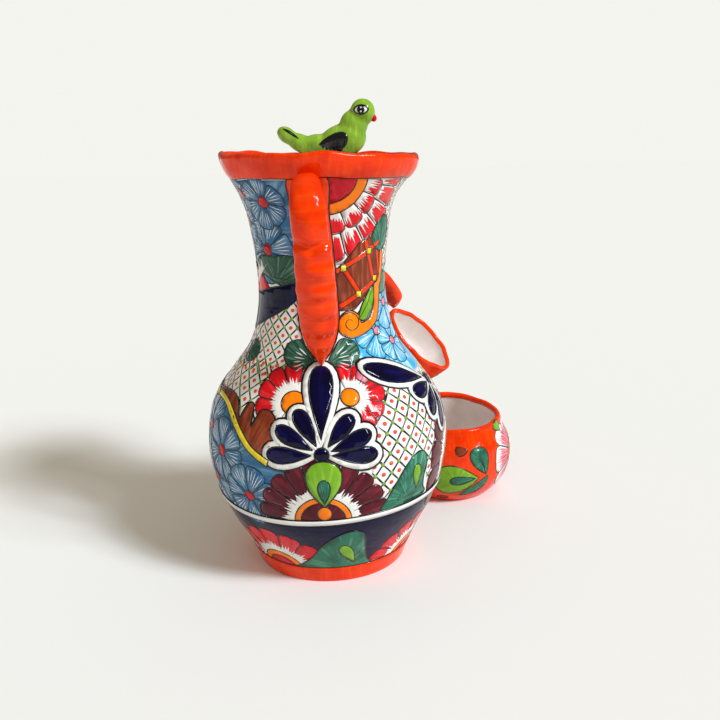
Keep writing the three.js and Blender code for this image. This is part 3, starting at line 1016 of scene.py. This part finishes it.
def right_belly(panel, flowered):
    sheet = panel.sheet(42, 150)
    lattice(sheet, [(24, 205), (38, 203), (58, 196), (101, 196), (101, 90), (56, 90), (48, 132), (36, 118),
                    (27, 96), (20, 118), (22, 150), (26, 170)], 16.5, 18, 0, 2.0)
    leaf = panel.sheet(45, 112)
    loop = rounded(leaf.at((26, 86), (29, 98), (33, 112), (37, 123), (42, 131), (47, 134), (51, 130),
                           (52, 120), (50.5, 108), (51, 97), (53, 88), (40, 86)))
    motif(TEAL, leaf, loop, 5, heart=leaf.at((40, 92))[0], edge=1.5)
    motif(LIME, leaf, drop(-14, 11, 11, 94, 0.6), 6)
    veins(leaf, leaf.at((34, 92))[0], leaf.at((38, 102), (43, 104), (47, 94)), 5)
    if not flowered:
        return
    flower = panel.sheet(84, 108)
    bloom(flower, MAROON, [15 + 30 * k for k in range(12)], 15.2, 24, 60, (32, 37), 2, "side")
    motif(AMBER, flower, disc(0, 0, 24, 26), 4)
    motif(MAROON, flower, disc(0, 0, 18, 24), 5)
    motif(AMBER, flower, disc(0, 0, 7.5), 6)


BELLY_FLOWERS = (       # degrees, height, core, reach, turn, level
    (-70, 151, 6.5, 34, 10, 1),
    (-54, 136, 6.5, 31, 40, 2),
    (-36, 101, 6, 31, 15, 3),
    (-64, 103, 6, 32, 30, 1),
)
NECK_FLOWERS = (        # degrees, height, reach, turn, number of petals, level
    (-48, 316, 31, 10, 7, 1),
    (-76, 340, 30, 0, 7, 1),
    (-41, 359, 25, 20, 6, 2),
    (-66, 366, 18, 0, 6, 2),
)
SHOULDER_FLOWERS = (    # degrees, height, reach, turn, level
    (50, 239, 27, 5, 1),
    (68, 226, 24, 30, 2),
    (70, 262, 26, 12, 3),
    (90, 245, 27, 0, 1),
    (92, 276, 24, 20, 2),
)
FOOT_FLOWERS = (        # degrees, reach, ring, colour
    (-33, 55, 22, RED),
    (60, 50, 20, RED),
    (-79, 50, 20, RED),
    (100, 48, 18, CORAL),
)


def left_belly(panel):
    field = panel.sheet(-50, 130)
    ground = field.at((-84, 84), (-18, 84), (-13, 120), (-14, 142), (-40, 166), (-58, 180), (-84, 180))
    # painted shade: this blue ground and its flowers take the darkened copy of the sky-blue glaze
    paint(SKY_IN_PAINTED_SHADE, field, ground, 0)
    for degrees, height, core, reach, turn, lift in BELLY_FLOWERS:
        flower = panel.sheet(degrees, height)
        feathered(flower, SKY_IN_PAINTED_SHADE, [turn + 51.4 * k for k in range(7)], 25.7, core, reach, lift)
        motif(CRIMSON, flower, rounded(disc(0, 0, core, 7, 0.85)), lift + 1)
    net = panel.sheet(-50, 200)
    lattice(net, [(-84, 176), (-40, 174), (-22, 165), (-22, 215), (-84, 215)], 16.5, 18.5, 0, 1.9)
    brown = panel.sheet(-45, 170)
    lobes = brown.at((-84, 181), (-72, 185), (-60, 187), (-51, 184), (-46, 176), (-43.5, 170), (-42.5, 177),
                     (-40, 184), (-36.5, 182), (-35.5, 172), (-35, 166), (-33.5, 172), (-31.5, 180),
                     (-26, 180), (-22, 173), (-20, 160), (-25, 150), (-26, 140), (-33, 147),
                     (-40, 158), (-48, 170), (-58, 177), (-70, 179), (-84, 178))
    motif(BROWN, brown, rounded(lobes, parts=4), 5, heart=(10, -60), edge=1.7)
    upper = brown.at((-84, 180), (-72, 182), (-60, 181), (-49, 173.5), (-40, 161), (-33, 149), (-24, 140))
    lower = brown.at((-25, 134), (-35, 144.5), (-43, 158), (-51, 169), (-60, 176.5), (-72, 177.5), (-84, 176))
    motif(YELLOW, brown, rounded(upper, False) + rounded(lower, False), 6, None)


def below_ring(panel):
    """On the navy field: red half flowers that stand on the foot, with teal leaves between them."""
    for degrees, reach, ring, colour in FOOT_FLOWERS:
        flower = panel.sheet(degrees, 15)
        half_flower(flower, 1, ring * 0.68, ring, (ring + 8, ring + 13), reach, 7, colour, CRIMSON)
    leaf = panel.sheet(6, 40)
    loop = rounded(leaf.at((-28, 13), (-19, 21), (-10, 33), (-4, 47), (2, 58), (8, 65), (13, 67), (18, 64),
                           (20, 56), (21.5, 42), (24, 27), (28, 14), (0, 12)))
    motif(TEAL, leaf, loop, 6, heart=leaf.at((8, 20))[0], edge=1.6)
    motif(LIME, leaf, drop(-21, 10, 12, 113, 0.55, centre=(7, 1)), 7)
    small = panel.sheet(84, 40)
    motif(TEAL, small, rounded([(-18, -28), (-14, -5), (-4, 18), (6, 22), (12, 8), (14, -28)]), 6, (0, -20))
    motif(LIME, small, drop(-18, 6, 11, 96, 0.55), 7)


def left_neck(panel):
    field = panel.sheet(-50, 335)
    # painted shade: this blue ground and its flowers take the darkened copy of the sky-blue glaze
    paint(SKY_IN_PAINTED_SHADE, field, field.at((-82, 290), (-17, 290), (-15, 378), (-82, 378)), 0)
    for degrees, height, reach, start, count, lift in NECK_FLOWERS:
        flower = panel.sheet(degrees, height)
        middles = [start + 360 / count * k for k in range(count)]
        feathered(flower, SKY_IN_PAINTED_SHADE, middles, 180 / count, 6, reach, lift)
        motif(CRIMSON, flower, drop(-6, 7, 11, 15, 0.4), lift + 1)
    leaf = panel.sheet(-45, 300)
    loop = rounded(leaf.at((-70, 302), (-60, 294), (-46, 289), (-30, 283), (-20, 281), (-19, 300), (-22, 312),
                           (-40, 311), (-58, 311)))
    motif(DEEP_GREEN, leaf, loop, 3, heart=leaf.at((-40, 285))[0])
    tips = leaf.at((-58, 302), (-48, 308), (-36, 308), (-27, 302), (-25, 290))
    veins(leaf, leaf.at((-42, 291))[0], tips, 3)
    red = panel.sheet(-60, 285)
    loop = rounded(red.at((-84, 272), (-84, 300), (-70, 297), (-58, 290), (-50, 281), (-45, 274), (-60, 270)))
    motif(RED, red, loop, 4)
    paint(WHITE, red, [polar(14, 200 - 14 * k) if k % 2 else polar(22, 200 - 14 * k) for k in range(11)], 5)
    crescent = panel.sheet(-50, 262)
    loop = rounded(crescent.at((-84, 240), (-84, 272), (-66, 276), (-50, 281), (-36, 284), (-20, 287),
                               (-20, 273), (-34, 262), (-50, 253), (-68, 244)))
    motif(COBALT, crescent, loop, 5, None)
    net = panel.sheet(-50, 240)
    lattice(net, [(-84, 205), (-84, 250), (-66, 252), (-50, 260), (-34, 267), (-16, 276), (-10, 230),
                  (-18, 205)], 14.0, 15.5, 0, 1.7)
    round_leaf = panel.sheet(-64, 221)
    motif(DEEP_GREEN, round_leaf, disc(0, 0, 13, 20, 0.9), 2, heart=(-8, 0))
    for degrees, side in ((-16, -1), (16, 1)):
        tip = panel.sheet(degrees, 225)
        motif(DEEP_GREEN, tip, rounded([(-side * 14, -9), (side * 4, -14), (side * 15, -4), (side * 12, 9),
                                        (0, 13), (-side * 8, 4)]), 2, heart=(-side * 14, -9))
        for k in range(6):
            angle = 40 - 16 * k if side > 0 else 140 + 16 * k
            line = [polar(radius, angle) for radius in (7 + k % 2 * 3, 13, 17)]
            ink(tip, [(x - side * 12, y - 5) for x, y in line], 2, 1.3, False, WHITE)


def right_neck(panel):
    red = panel.sheet(8, 380)
    paint(WHITE, red, [polar(82, -90 + 9 * k) for k in range(11)] + [(0, 0)], 0)
    for row, (inner, outer, step, shift) in enumerate(((58, 79, 17, 4), (42, 54, 23, 8))):
        low = row * 2
        for k in range(7 if row == 0 else 5):
            middle = -90 + shift + step * k
            if middle > 4:
                continue
            motif(WHITE, red, petal(inner - 18, outer, middle, step / 2), 1 + low, edge=1.1)
            scale = petal(inner - 2, outer - 0.8, middle, step / 2 - 1.2)
            paint(CORAL if k > 3 else RED, red, scale, 2 + low)
            torn = burst(inner - 16, inner - 1, inner + 6, middle - step / 2 + 2, middle + step / 2 - 2, 2.4,
                         f"scale {row} {k}")
            paint(WHITE, red, torn, 3 + low)
    motif(AMBER, red, [(0, 0)] + [polar(36, -90 + 9 * k) for k in range(11)], 6)
    motif(CRIMSON, red, [(0, 0)] + [polar(26, -90 + 9 * k) for k in range(11)], 7, heart=(0, 12))


BASKET_STRAPS = (
    ((12, 296), (60, 321)),
    ((16, 265), (60, 288)),
    ((19, 303), (37, 274)),
    ((42, 323), (53, 286)),
    ((57, 313), (63, 288)),
)
HALF_STRAP = 2.3


def basket(panel):
    sheet = panel.sheet(38, 292)
    body = sheet.at((12, 293), (24, 308), (35, 321), (46, 327), (50, 330), (57, 318), (66, 318), (67, 300),
                    (64, 285), (52, 278), (40, 270), (30, 262), (16, 262), (13, 276))
    motif(BROWN, sheet, body, 5, None)
    for start, stop in BASKET_STRAPS:
        a, b = sheet.at(start, stop)
        dx, dy = b[0] - a[0], b[1] - a[1]
        norm = math.hypot(dx, dy)
        sx, sy = -dy / norm * HALF_STRAP, dx / norm * HALF_STRAP
        strap = [(a[0] + sx, a[1] + sy), (b[0] + sx, b[1] + sy),
                 (b[0] - sx, b[1] - sy), (a[0] - sx, a[1] - sy)]
        motif(ORANGE, sheet, strap, 6, None, 0.8)
    for spot in ((21, 300), (46.5, 313), (35, 275), (55, 287)):
        x, y = sheet.at(spot)[0]
        knot = [(x - 3, y - 2.6), (x + 2.6, y - 3), (x + 3, y + 2.6), (x - 2.6, y + 3)]
        motif(YELLOW, sheet, knot, 7, None, 0.8)
    scroll = rounded(sheet.at((65, 313), (69, 302), (68, 288), (63, 276), (59, 262), (51, 248), (38, 240),
                              (25, 237), (16, 242), (14, 251), (19, 259), (27, 261), (34, 255), (35, 249),
                              (44, 253), (51, 263), (53, 273), (54, 281), (61, 286), (63, 298), (62, 309)))
    motif(AMBER, sheet, scroll, 7, None, 1.3)
    curl = panel.sheet(25, 250)
    spiral = [polar(11 * (1 - k / 26), 170 - 24 * k) for k in range(22)]
    ink(curl, spiral, 7, 1.1, False)
    leaf = rounded(sheet.at((33, 253), (36, 262), (42, 271), (50, 280), (53, 275), (50, 264), (44, 256),
                            (38, 251)))
    motif(LIME, sheet, leaf, 8)
    ink(sheet, sheet.at((34, 254), (44, 266), (51, 278)), 8, 0.9, False)


def right_shoulder(panel):
    field = panel.sheet(62, 245)
    ground = field.at((22, 216), (22, 240), (40, 238), (54, 250), (62, 270), (66, 296), (101, 296),
                      (101, 196), (70, 196), (50, 214))
    paint(SKY, field, ground, 0)
    for degrees, height, reach, start, lift in SHOULDER_FLOWERS:
        flower = panel.sheet(degrees, height)
        feathered(flower, SKY, [start + 60 * k for k in range(6)], 30, 5, reach, lift)
        motif(PINK, flower, rounded(disc(0, 0, 5.2, 7, 0.8)), lift + 1)
    leaf = panel.sheet(68, 284)
    motif(TEAL, leaf, rounded([(-16, -8), (-4, -13), (14, -10), (17, 2), (2, 8), (-12, 4)]), 5)
    top = panel.sheet(62, 327)
    loop = rounded([(-14, -4), (-9, 10), (2, 17), (12, 11), (14, -3), (6, -15), (-6, -14)])
    motif(TEAL, top, loop, 6, (0, -12))
    veins(top, (0, -12), ((-8, 4), (1, 10), (8, 3)), 6)
    net = panel.sheet(84, 335)
    lattice(net, [(60, 296), (101, 296), (101, 379), (58, 379), (64, 350), (66, 330)], 11, 13, 0)


def handle_ground(panel):
    """Orange left bare of painting behind the handle, with a black line round it."""
    sheet = panel.sheet(-4, 300)
    loop = sheet.at((-15, 381), (-17, 345), (-18, 310), (-19, 280), (-18.5, 258), (-14, 238), (-6, 224),
                    (0, 219), (6, 225), (12, 238), (15.5, 255), (15.5, 275), (14, 300), (12, 325),
                    (9.5, 350), (7, 381))
    motif(ORANGE, sheet, rounded(loop), 9, None, 1.5)


SPRAY_LEAVES = (        # across, up, angle, length, colour
    (0, -60, 90, 34, LIME),
    (-3, -18, 118, 30, TEAL),
    (1, -20, 62, 30, TEAL),
    (-3, 14, 118, 30, LIME),
    (1, 12, 62, 30, LIME),
    (-1, 44, 90, 30, RED),
)


def back_neck(panel):
    """Where the handle would be, the back has a tall leaf spray."""
    sheet = panel.sheet(-4, 300)
    ground = sheet.at((-19, 379), (-22, 300), (-20, 250), (-6, 222), (10, 228), (15, 260), (12, 320),
                      (8, 379))
    motif(ORANGE, sheet, rounded(ground), 8, None, 1.5)
    for x, y, angle, length, colour in SPRAY_LEAVES:
        motif(colour, sheet, drop(0, length, 13, angle, 0.6, centre=(x, y)), 9)
    ink(sheet, [(-1, -74), (0, -20), (-1, 44)], 9, 1.4, False)


def ring_wave(azimuth):
    return RING_HEIGHT + 2.6 + 2.2 * math.sin(azimuth) + 0.7 * math.sin(3 * azimuth)


def around_jug():
    """The cobalt ground, the raised white ring in its black lines, and the lines at collar and foot."""
    belt(COBALT, JUG, lambda a: FOOT_TOP - 2, lambda a: ring_wave(a) - 2, 0)
    belt(LINE, JUG, lambda a: ring_wave(a) - 3.6, lambda a: ring_wave(a) + 3.2, 10)
    belt(WHITE, JUG, lambda a: ring_wave(a) - 2.6, lambda a: ring_wave(a) + 2.2, 11)
    belt(LINE, JUG, lambda a: COLLAR_EDGE - 1.6, lambda a: COLLAR_EDGE + 1.5, 10)
    belt(LINE, JUG, lambda a: FOOT_TOP + 2.8, lambda a: FOOT_TOP + 5.2, 7)


def paint_jug():
    for panel, has_handle in ((Panel(JUG), True), (Panel(JUG, 200, True, 0.07), False)):
        left_belly(panel)
        right_belly(panel, has_handle)
        fan_flowers(panel)
        fan(panel, -0.5, 147, 0, 5)
        left_neck(panel)
        right_neck(panel)
        right_shoulder(panel)
        basket(panel)
        below_ring(panel)
        fan(panel, 80, 184, 66, 6, (50, 20, -4))
        if has_handle:
            handle_ground(panel)
        else:
            back_neck(panel)
    around_jug()


def bowl_sprig(panel):
    bud = panel.sheet(4, 70)
    motif(BROWN, bud, rounded([(-7, 0), (-5, 6), (1, 5), (7, 1), (3, -5), (-4, -6)]), 0, edge=1.0)
    leaf = panel.sheet(23, 57)
    motif(TEAL, leaf, drop(-20, 17, 22, 112, 0.5), 0)
    veins(leaf, polar(-18, 112), [polar(4, 140), polar(12, 112), polar(4, 84)], 0)
    big = panel.sheet(-2, 34)
    motif(LIME, big, drop(-28, 24, 38, 183, 0.5), 0, edge=1.4)
    motif(TEAL, big, drop(-24, 6, 11, 184, 0.6), 1)
    low = panel.sheet(20, 22)
    loop = rounded([(-17, -11), (-11, -1), (-3, 5), (6, 11), (14, 15), (13, 6), (8, -3), (-2, -10)])
    motif(TEAL, low, loop, 0, (-17, -11))
    seed = panel.sheet(-16, 8)
    motif(BROWN, seed, rounded([(-7, 0), (0, 4), (7, 1), (0, -4)]), 0, edge=1.0)


def bowl_flower(panel):
    flower = panel.sheet(78, 50)
    for k in range(7):
        middle = 180 / 7 + 360 / 7 * k
        motif(WHITE, flower, petal(12, 45, middle, 25.5), 0, edge=1.2)
        paint(PINK, flower, burst(13, 33, 40, middle - 21, middle + 21, 3.0, f"bowl {k}"), 1)
        for turn in (-10, 0, 10):
            ray = [polar(16, middle + turn), polar(25, middle + turn), polar(33, middle + turn)]
            ink(flower, ray, 1, 1.4, False, CRIMSON)
    motif(AMBER, flower, disc(0, 0, 14, 20), 3)
    motif(CRIMSON, flower, disc(0, 0, 7, 16), 4)
    motif(LIME, flower, drop(38, 54, 14, 118, 0.5), 2)


def paint_bowl():
    for base in (0, 180):
        panel = Panel(BOWL, base)
        bowl_sprig(panel)
        bowl_flower(panel)
        spare = panel.sheet(-42, 60)
        motif(TEAL, spare, drop(-16, 14, 18, 70, 0.5), 0)
        motif(LIME, spare, drop(-14, 14, 17, 250, 0.5, centre=(-2, -26)), 0)


def paint_cup():
    for base in range(0, 360, 90):
        panel = Panel(CUP, base)
        leaf = panel.sheet(0, -20)
        motif(LIME, leaf, drop(-14, 13, 19, 80, 0.5), 0)
        motif(TEAL, leaf, drop(-11, 2, 7, 80, 0.6), 1)
        second = panel.sheet(45, -18)
        motif(TEAL, second, drop(-13, 12, 14, 110, 0.5), 0)
        veins(second, polar(-10, 110), [polar(2, 135), polar(8, 110), polar(2, 85)], 0)


# ---- pulled straps: handle and tongue ----

def strap_path(out_and_up):
    """A smooth line through the middle of a strap, with its length at each point."""
    line = rounded(out_and_up, False, 12)
    runs = [0.0]
    for a, b in zip(line, line[1:]):
        runs.append(runs[-1] + math.dist(a, b))
    return line, runs


STRAP_SIDES = 40


def pull_strap(name, out_and_up, towards, section, replaced, rings, sideways=0.0):
    """Pulls a strap of clay along its line. Section gives half the width, half the thickness, and how far
    the clay stands out, for a share of the length and a side from -1 to 1. Its top may lean sideways."""
    line, runs = strap_path(out_and_up)
    piece = pull_up(name, [(10, k) for k in range(rings)], STRAP_SIDES, False)
    outward = Vector((math.cos(towards), math.sin(towards), 0))
    across = Vector((-outward.y, outward.x, 0))
    xs, ys = [p[0] for p in line], [p[1] for p in line]
    length = runs[-1]
    for vertex in piece.data.vertices:
        share = round(vertex.co.z / MM) / (rings - 1)
        run = share * length
        angle = math.atan2(vertex.co.y, vertex.co.x)
        c, s = math.cos(angle), math.sin(angle)
        side = math.copysign(abs(c) ** 0.92, c)
        face = math.copysign(abs(s) ** 0.85, s)
        half_width, half_thick, stand = section(share, side, face)
        ahead, behind = min(run + 1.5, length), max(run - 1.5, 0)
        out, up = np.interp(run, runs, xs), np.interp(run, runs, ys)
        dx = np.interp(ahead, runs, xs) - np.interp(behind, runs, xs)
        dz = np.interp(ahead, runs, ys) - np.interp(behind, runs, ys)
        norm = math.hypot(dx, dz)
        normal = outward * (-dz / norm) + Vector((0, 0, dx / norm))
        middle = outward * out + Vector((0, 0, up))
        wobble = 1.0 * noise.noise(Vector((run / 12, side * 1.5, 4 + face)))
        lean = sideways * (1 - ease(share, 0.12, 0.62))
        place = middle + across * (side * half_width + lean) + normal * (face * half_thick + stand + wobble)
        vertex.co = place * MM
    make_smooth(piece)
    bpy.context.view_layer.objects.active = piece
    bpy.ops.object.mode_set(mode="EDIT")
    face_outwards()
    glaze_piece(piece, ORANGE, lambda co: (co.z / MM / 5, math.atan2(co.x, -co.y) * 2, 0))
    return keep(piece, "orange_glaze", replaced)


HANDLE_LINE = [(66, 362), (86, 375.5), (106, 374), (118, 358), (120, 332), (113, 298), (99, 262), (84, 234),
               (70, 215)]
HANDLE_PINCH = 0.42     # how far down its length the handle is pinched
HANDLE_HALF_WIDTH = (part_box("handle_lobe")[1].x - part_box("handle_lobe")[0].x) / MM / 2
HANDLE_HALF_THICK = 7.5
HANDLE_SIDEWAYS = -5.2


def handle_section(share, side, face):
    """A thumb-like lobe at the top, a pinch under it, and a ridged strap that runs out to a point."""
    pinch_at = HANDLE_PINCH + 0.022 * (1 - abs(side)) ** 1.4
    away = (share - pinch_at) / 0.020
    pinch = math.exp(-away * away)
    lower = ease(share, HANDLE_PINCH, HANDLE_PINCH + 0.04)
    ridge = math.sin((share - HANDLE_PINCH) * 76) * lower * (1 - ease(share, 0.82, 0.95))
    front = max(face, 0)
    taper = 0.10 + 0.90 * math.sqrt(1 - ease(share, 0.70, 0.985))
    dome = 0.40 + 0.50 * math.sqrt(ease(share, 0.06, 0.34)) + 0.10 * ease(share, 0.34, 0.6)
    width = HANDLE_HALF_WIDTH * taper * dome * (1 - 0.06 * pinch + 0.025 * ridge)
    crown = 3.0 * (1 - side * side) * taper * ease(share, 0.15, 0.35)
    thick = HANDLE_HALF_THICK * (0.5 + 0.5 * taper)
    lobe = 0.8 * (1 - lower) * ease(share, 0.2, 0.4)
    return width, thick, front * (crown + 1.7 * ridge * (0.75 + 0.5 * side) - 5.5 * pinch + lobe)


TONGUE_LINE = [(48, 279), (61, 281), (76, 274), (91, 259), (104, 238)]
TONGUE_TOWARDS = math.radians(45)


def tongue_section(share, side, face):
    width = (13 + 3 * math.sin(math.pi * share)) * math.sqrt(max(0.02, 1 - ease(share, 0.80, 1.02)))
    thick = 8.0 * (0.35 + 0.65 * (1 - ease(share, 0.85, 1.0)))
    return width, thick, -1.5 * max(face, 0) * (1 - abs(side))


# ---- bird ----

BIRD_TURN = math.radians(-9)
BIRD_SINKS = 4.0
BIRD_VOXEL = 1.1
BIRD_SOFTNESS = (0.6, 24)       # strength and rounds of smoothing
BIRD_SOLE = 0.6
BIRD_LUMPS = (          # along, up, half length, half width, half height, tilt
    (37.8, 41.2, 12.8, 11.8, 13.4, 0),
    (28.5, 29.5, 14.5, 12.4, 15.0, 24),
    (23.0, 16.0, 18.0, 15.0, 16.5, -12),
    (11.0, 15.0, 22.0, 14.0, 14.0, -26),
    (-7.0, 10.5, 20.0, 12.0, 11.0, 4),
    (-26.0, 12.0, 18.0, 10.5, 9.4, 25),
    (-41.5, 20.8, 11.5, 9.4, 8.2, 35),
)


def bird_place():
    low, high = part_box("bird_base")
    middle = (low + high) / 2
    seat = low.z - BIRD_SINKS * MM
    turned = Matrix.Rotation(BIRD_TURN, 4, "Z") @ Matrix.Scale(MM, 4)
    return Matrix.Translation((middle.x, middle.y, seat)) @ turned


def add_lump(along, across, up, half_length, half_width, half_height, tilt=0.0, name="lump"):
    """A thumbed lump of clay: a ball stretched to its size and put in its place."""
    start_alone()
    bpy.ops.mesh.primitive_uv_sphere_add(segments=40, ring_count=24, radius=1.0)
    lump = bpy.context.active_object
    lump.name = name
    lump.data.transform(
        Matrix.Translation((along, across, up)) @ Matrix.Rotation(math.radians(tilt), 4, "Y")
        @ Matrix.Diagonal((half_length, half_width, half_height, 1))
    )
    return lump


def model_bird():
    lumps = [add_lump(x, 0, z, a, b, c, tilt) for x, z, a, b, c, tilt in BIRD_LUMPS]
    start_alone()
    for lump in lumps:
        lump.select_set(True)
    bpy.context.view_layer.objects.active = lumps[0]
    bpy.ops.object.join()
    bird = bpy.context.active_object
    bird.name = "bird"
    bird.data.name = "bird"
    remesh = bird.modifiers.new("remesh", "REMESH")
    remesh.mode = "VOXEL"
    remesh.voxel_size = BIRD_VOXEL
    soften = bird.modifiers.new("soften", "SMOOTH")
    soften.factor, soften.iterations = BIRD_SOFTNESS
    for modifier in ("remesh", "soften"):
        bpy.ops.object.modifier_apply(modifier=modifier)
    for vertex in bird.data.vertices:
        vertex.co.z = max(vertex.co.z, BIRD_SOLE)
    bird.data.transform(bird_place())
    make_smooth(bird)
    glaze_piece(bird, BIRD_GREEN, lambda co: (co.x / MM / 3, co.z / MM / 12, 0))
    keep(bird, "green_glaze", ["bird_body", "bird_head", "bird_tail"])
    return bird


PROUD = 0.3
ALMOND_SIDES = 20


class BirdSide:
    """Drawing paper seen from one side of the bird, in mm along and up, thrown on to its skin."""

    def __init__(self, bird, flip):
        self.name = "bird"
        self.flip = flip
        self.place_matrix = bird_place()
        self.tree = BVHTree.FromObject(bird, bpy.context.evaluated_depsgraph_get())

    def place(self, x, y, lift):
        side = 1 if self.flip else -1
        start = self.place_matrix @ Vector((x, side * 60, y))
        way = (self.place_matrix.to_3x3() @ Vector((0, -side, 0))).normalized()
        hit, normal, _, _ = self.tree.ray_cast(start, way)
        if hit is None:
            hit, normal, _, _ = self.tree.find_nearest(self.place_matrix @ Vector((x, side * 5, y)))
        return hit + normal * (lift + PROUD if lift > 0 else lift) * MM


def almond(x, y, length, height):
    """The outline of an eye: an oval with drawn-out corners."""
    out = []
    for k in range(ALMOND_SIDES):
        angle = 2 * math.pi * k / ALMOND_SIDES
        s = math.sin(angle)
        out.append((x + length / 2 * math.cos(angle), y + height / 2 * math.copysign(abs(s) ** 1.25, s)))
    return out


def paint_bird(bird):
    for flip in (False, True):
        side = BirdSide(bird, flip)
        paint(LINE, side, almond(37.8, 43.2, 15.5, 10.0), 0, None, 1.2, 2.0)
        paint(WHITE, side, almond(37.8, 43.0, 12.2, 6.8), 1, None, 1.2, 2.0)
        paint(LINE, side, disc(37.8, 43.2, 3.7, 16, 1.12), 2, None, 1.2, 2.0)
        for up in (45.0, 41.4):
            paint(WHITE, side, disc(37.8, up, 0.85, 10), 3, None, 1.0, 2.0)
        wing = rounded([(-6, 11), (-1, 15.5), (10, 21), (18, 22.4), (23, 20.4), (24.5, 15.4), (22, 9.2),
                        (17.5, 5), (13.5, 2.2)], False, 4)
        wing += [(11, 5), (9.3, 2.4), (7.4, 6), (5.4, 3.4), (3.8, 7), (1.8, 4.8), (0, 8.6), (-2.4, 6.6),
                 (-3.5, 9)]
        paint(LINE, side, wing, 0, None, 1.5, 3.0)
        stripe = rounded([(-44, 27.5), (-38, 25.6), (-31, 20.5), (-27, 17), (-33, 19.6), (-41, 24.8)])
        paint(LINE, side, stripe, 0, None, 1.5, 3.0)


def model_bird_details():
    beak = add_lump(48.0, 0, 35.8, 4.8, 3.4, 3.6, 48, "beak")
    base = add_lump(2.0, 0, 1.0, 30, 11.5, 3.0, 0, "bird_footing")
    for lump, colour, slot, node in ((beak, CRIMSON, "red_glaze", "bird_beak"),
                                     (base, BLACK, "dark_glaze", "bird_base")):
        lump.data.transform(bird_place())
        make_smooth(lump)
        glaze_piece(lump, colour, lambda co: (co.x / MM, co.z / MM, 0))
        keep(lump, slot, [node])


# ---- luted lumps ----

PAD_BITE = 1.5
PAD_ROOT = 12.0


def add_pad(node, name, wall):
    """A thumbed lump of clay that joins two pieces. It stops in the wall of the vessel it carries."""
    low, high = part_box(node)
    middle, half = (low + high) / 2 / MM, (high - low) / 2 / MM
    pad = add_lump(middle.x, middle.y, middle.z, half.x, half.y, half.z, 0, name)
    for vertex in pad.data.vertices:
        vertex.co += (vertex.co - middle).normalized() * 1.2 * noise.noise(vertex.co / 11)
    pad.data.transform(Matrix.Scale(MM, 4))
    back = wall.place.inverted()

    def within(spot):
        x, y, z = back @ spot
        return z > wall.up[0] + 1 + PAD_BITE and math.hypot(x, y) < wall.radius(z) - PAD_BITE

    anchor = middle * MM - Vector((middle.x, middle.y, 0)).normalized() * PAD_ROOT * MM
    for vertex in pad.data.vertices:
        share = 0.0
        while share < 1.0 and within(vertex.co.lerp(anchor, share)):
            share += 0.01
        vertex.co = vertex.co.lerp(anchor, share)
    make_smooth(pad)
    glaze_piece(pad, ORANGE, lambda co: (co.x / MM / 5, co.z / MM / 9, 0))
    keep(pad, "orange_glaze", [node])


# ---- studio ----

def add_floor():
    start_alone()
    bpy.ops.mesh.primitive_plane_add(size=30.0)
    floor = bpy.context.active_object
    floor.name = "floor"
    material, nodes, _ = new_material("pale_floor")
    shader = nodes["Principled BSDF"]
    shader.inputs["Base Color"].default_value = (0.84, 0.84, 0.83, 1)
    shader.inputs["Roughness"].default_value = 0.8
    shader.inputs["Specular IOR Level"].default_value = 0.0
    floor.data.materials.append(material)


set_camera()
set_lights()
add_floor()

throw_jug()
throw_band("collar_glaze", JUG, COLLAR_EDGE, RIM_HEIGHT - 3.2, 1.5, ["rim_collar"], (14, 3.5))
throw_band("foot_glaze", JUG, FOOT_LIFT, FOOT_TOP + 4, 1.3, ["foot_ring"])
throw_pot("bowl_wall", BOWL, FOOT_LIFT, BOWL_LIP, BOWL_THICK, 8.0, ["bowl_floor", "lower_bowl_wall"],
          BOWL_TURNS)
throw_band("bowl_glaze", BOWL, 0.8, BOWL_LIP, SKIN, ["upper_bowl_wall", "bowl_rim_coil"], (2.5, BOWL_THICK),
           BOWL_TURNS)
throw_pot("cup_wall", CUP, CUP_FOOT, CUP_LIP, CUP_THICK, CUP.up[0] + 7, ["cup_wall"], CUP_TURNS)
throw_band("cup_glaze", CUP, CUP.up[0] + 1.2, CUP_LIP, SKIN, ["cup_rim_coil"], (2.0, CUP_THICK), CUP_TURNS)
pull_strap("handle", HANDLE_LINE, -math.pi / 2, handle_section, ["handle_lobe", "handle_strap"], 150,
           HANDLE_SIDEWAYS)
pull_strap("tongue", TONGUE_LINE, TONGUE_TOWARDS, tongue_section, ["spout_tongue"], 50)
add_pad("cup_luting_pad", "cup_joint", CUP)
add_pad("bowl_luting_bridge", "bowl_joint", BOWL)
bird = model_bird()
model_bird_details()

paint_jug()
paint_bowl()
paint_cup()
paint_bird(bird)
fire_paint()

NODES["base_disc"].data.materials.clear()
NODES["base_disc"].data.materials.append(CLAY)
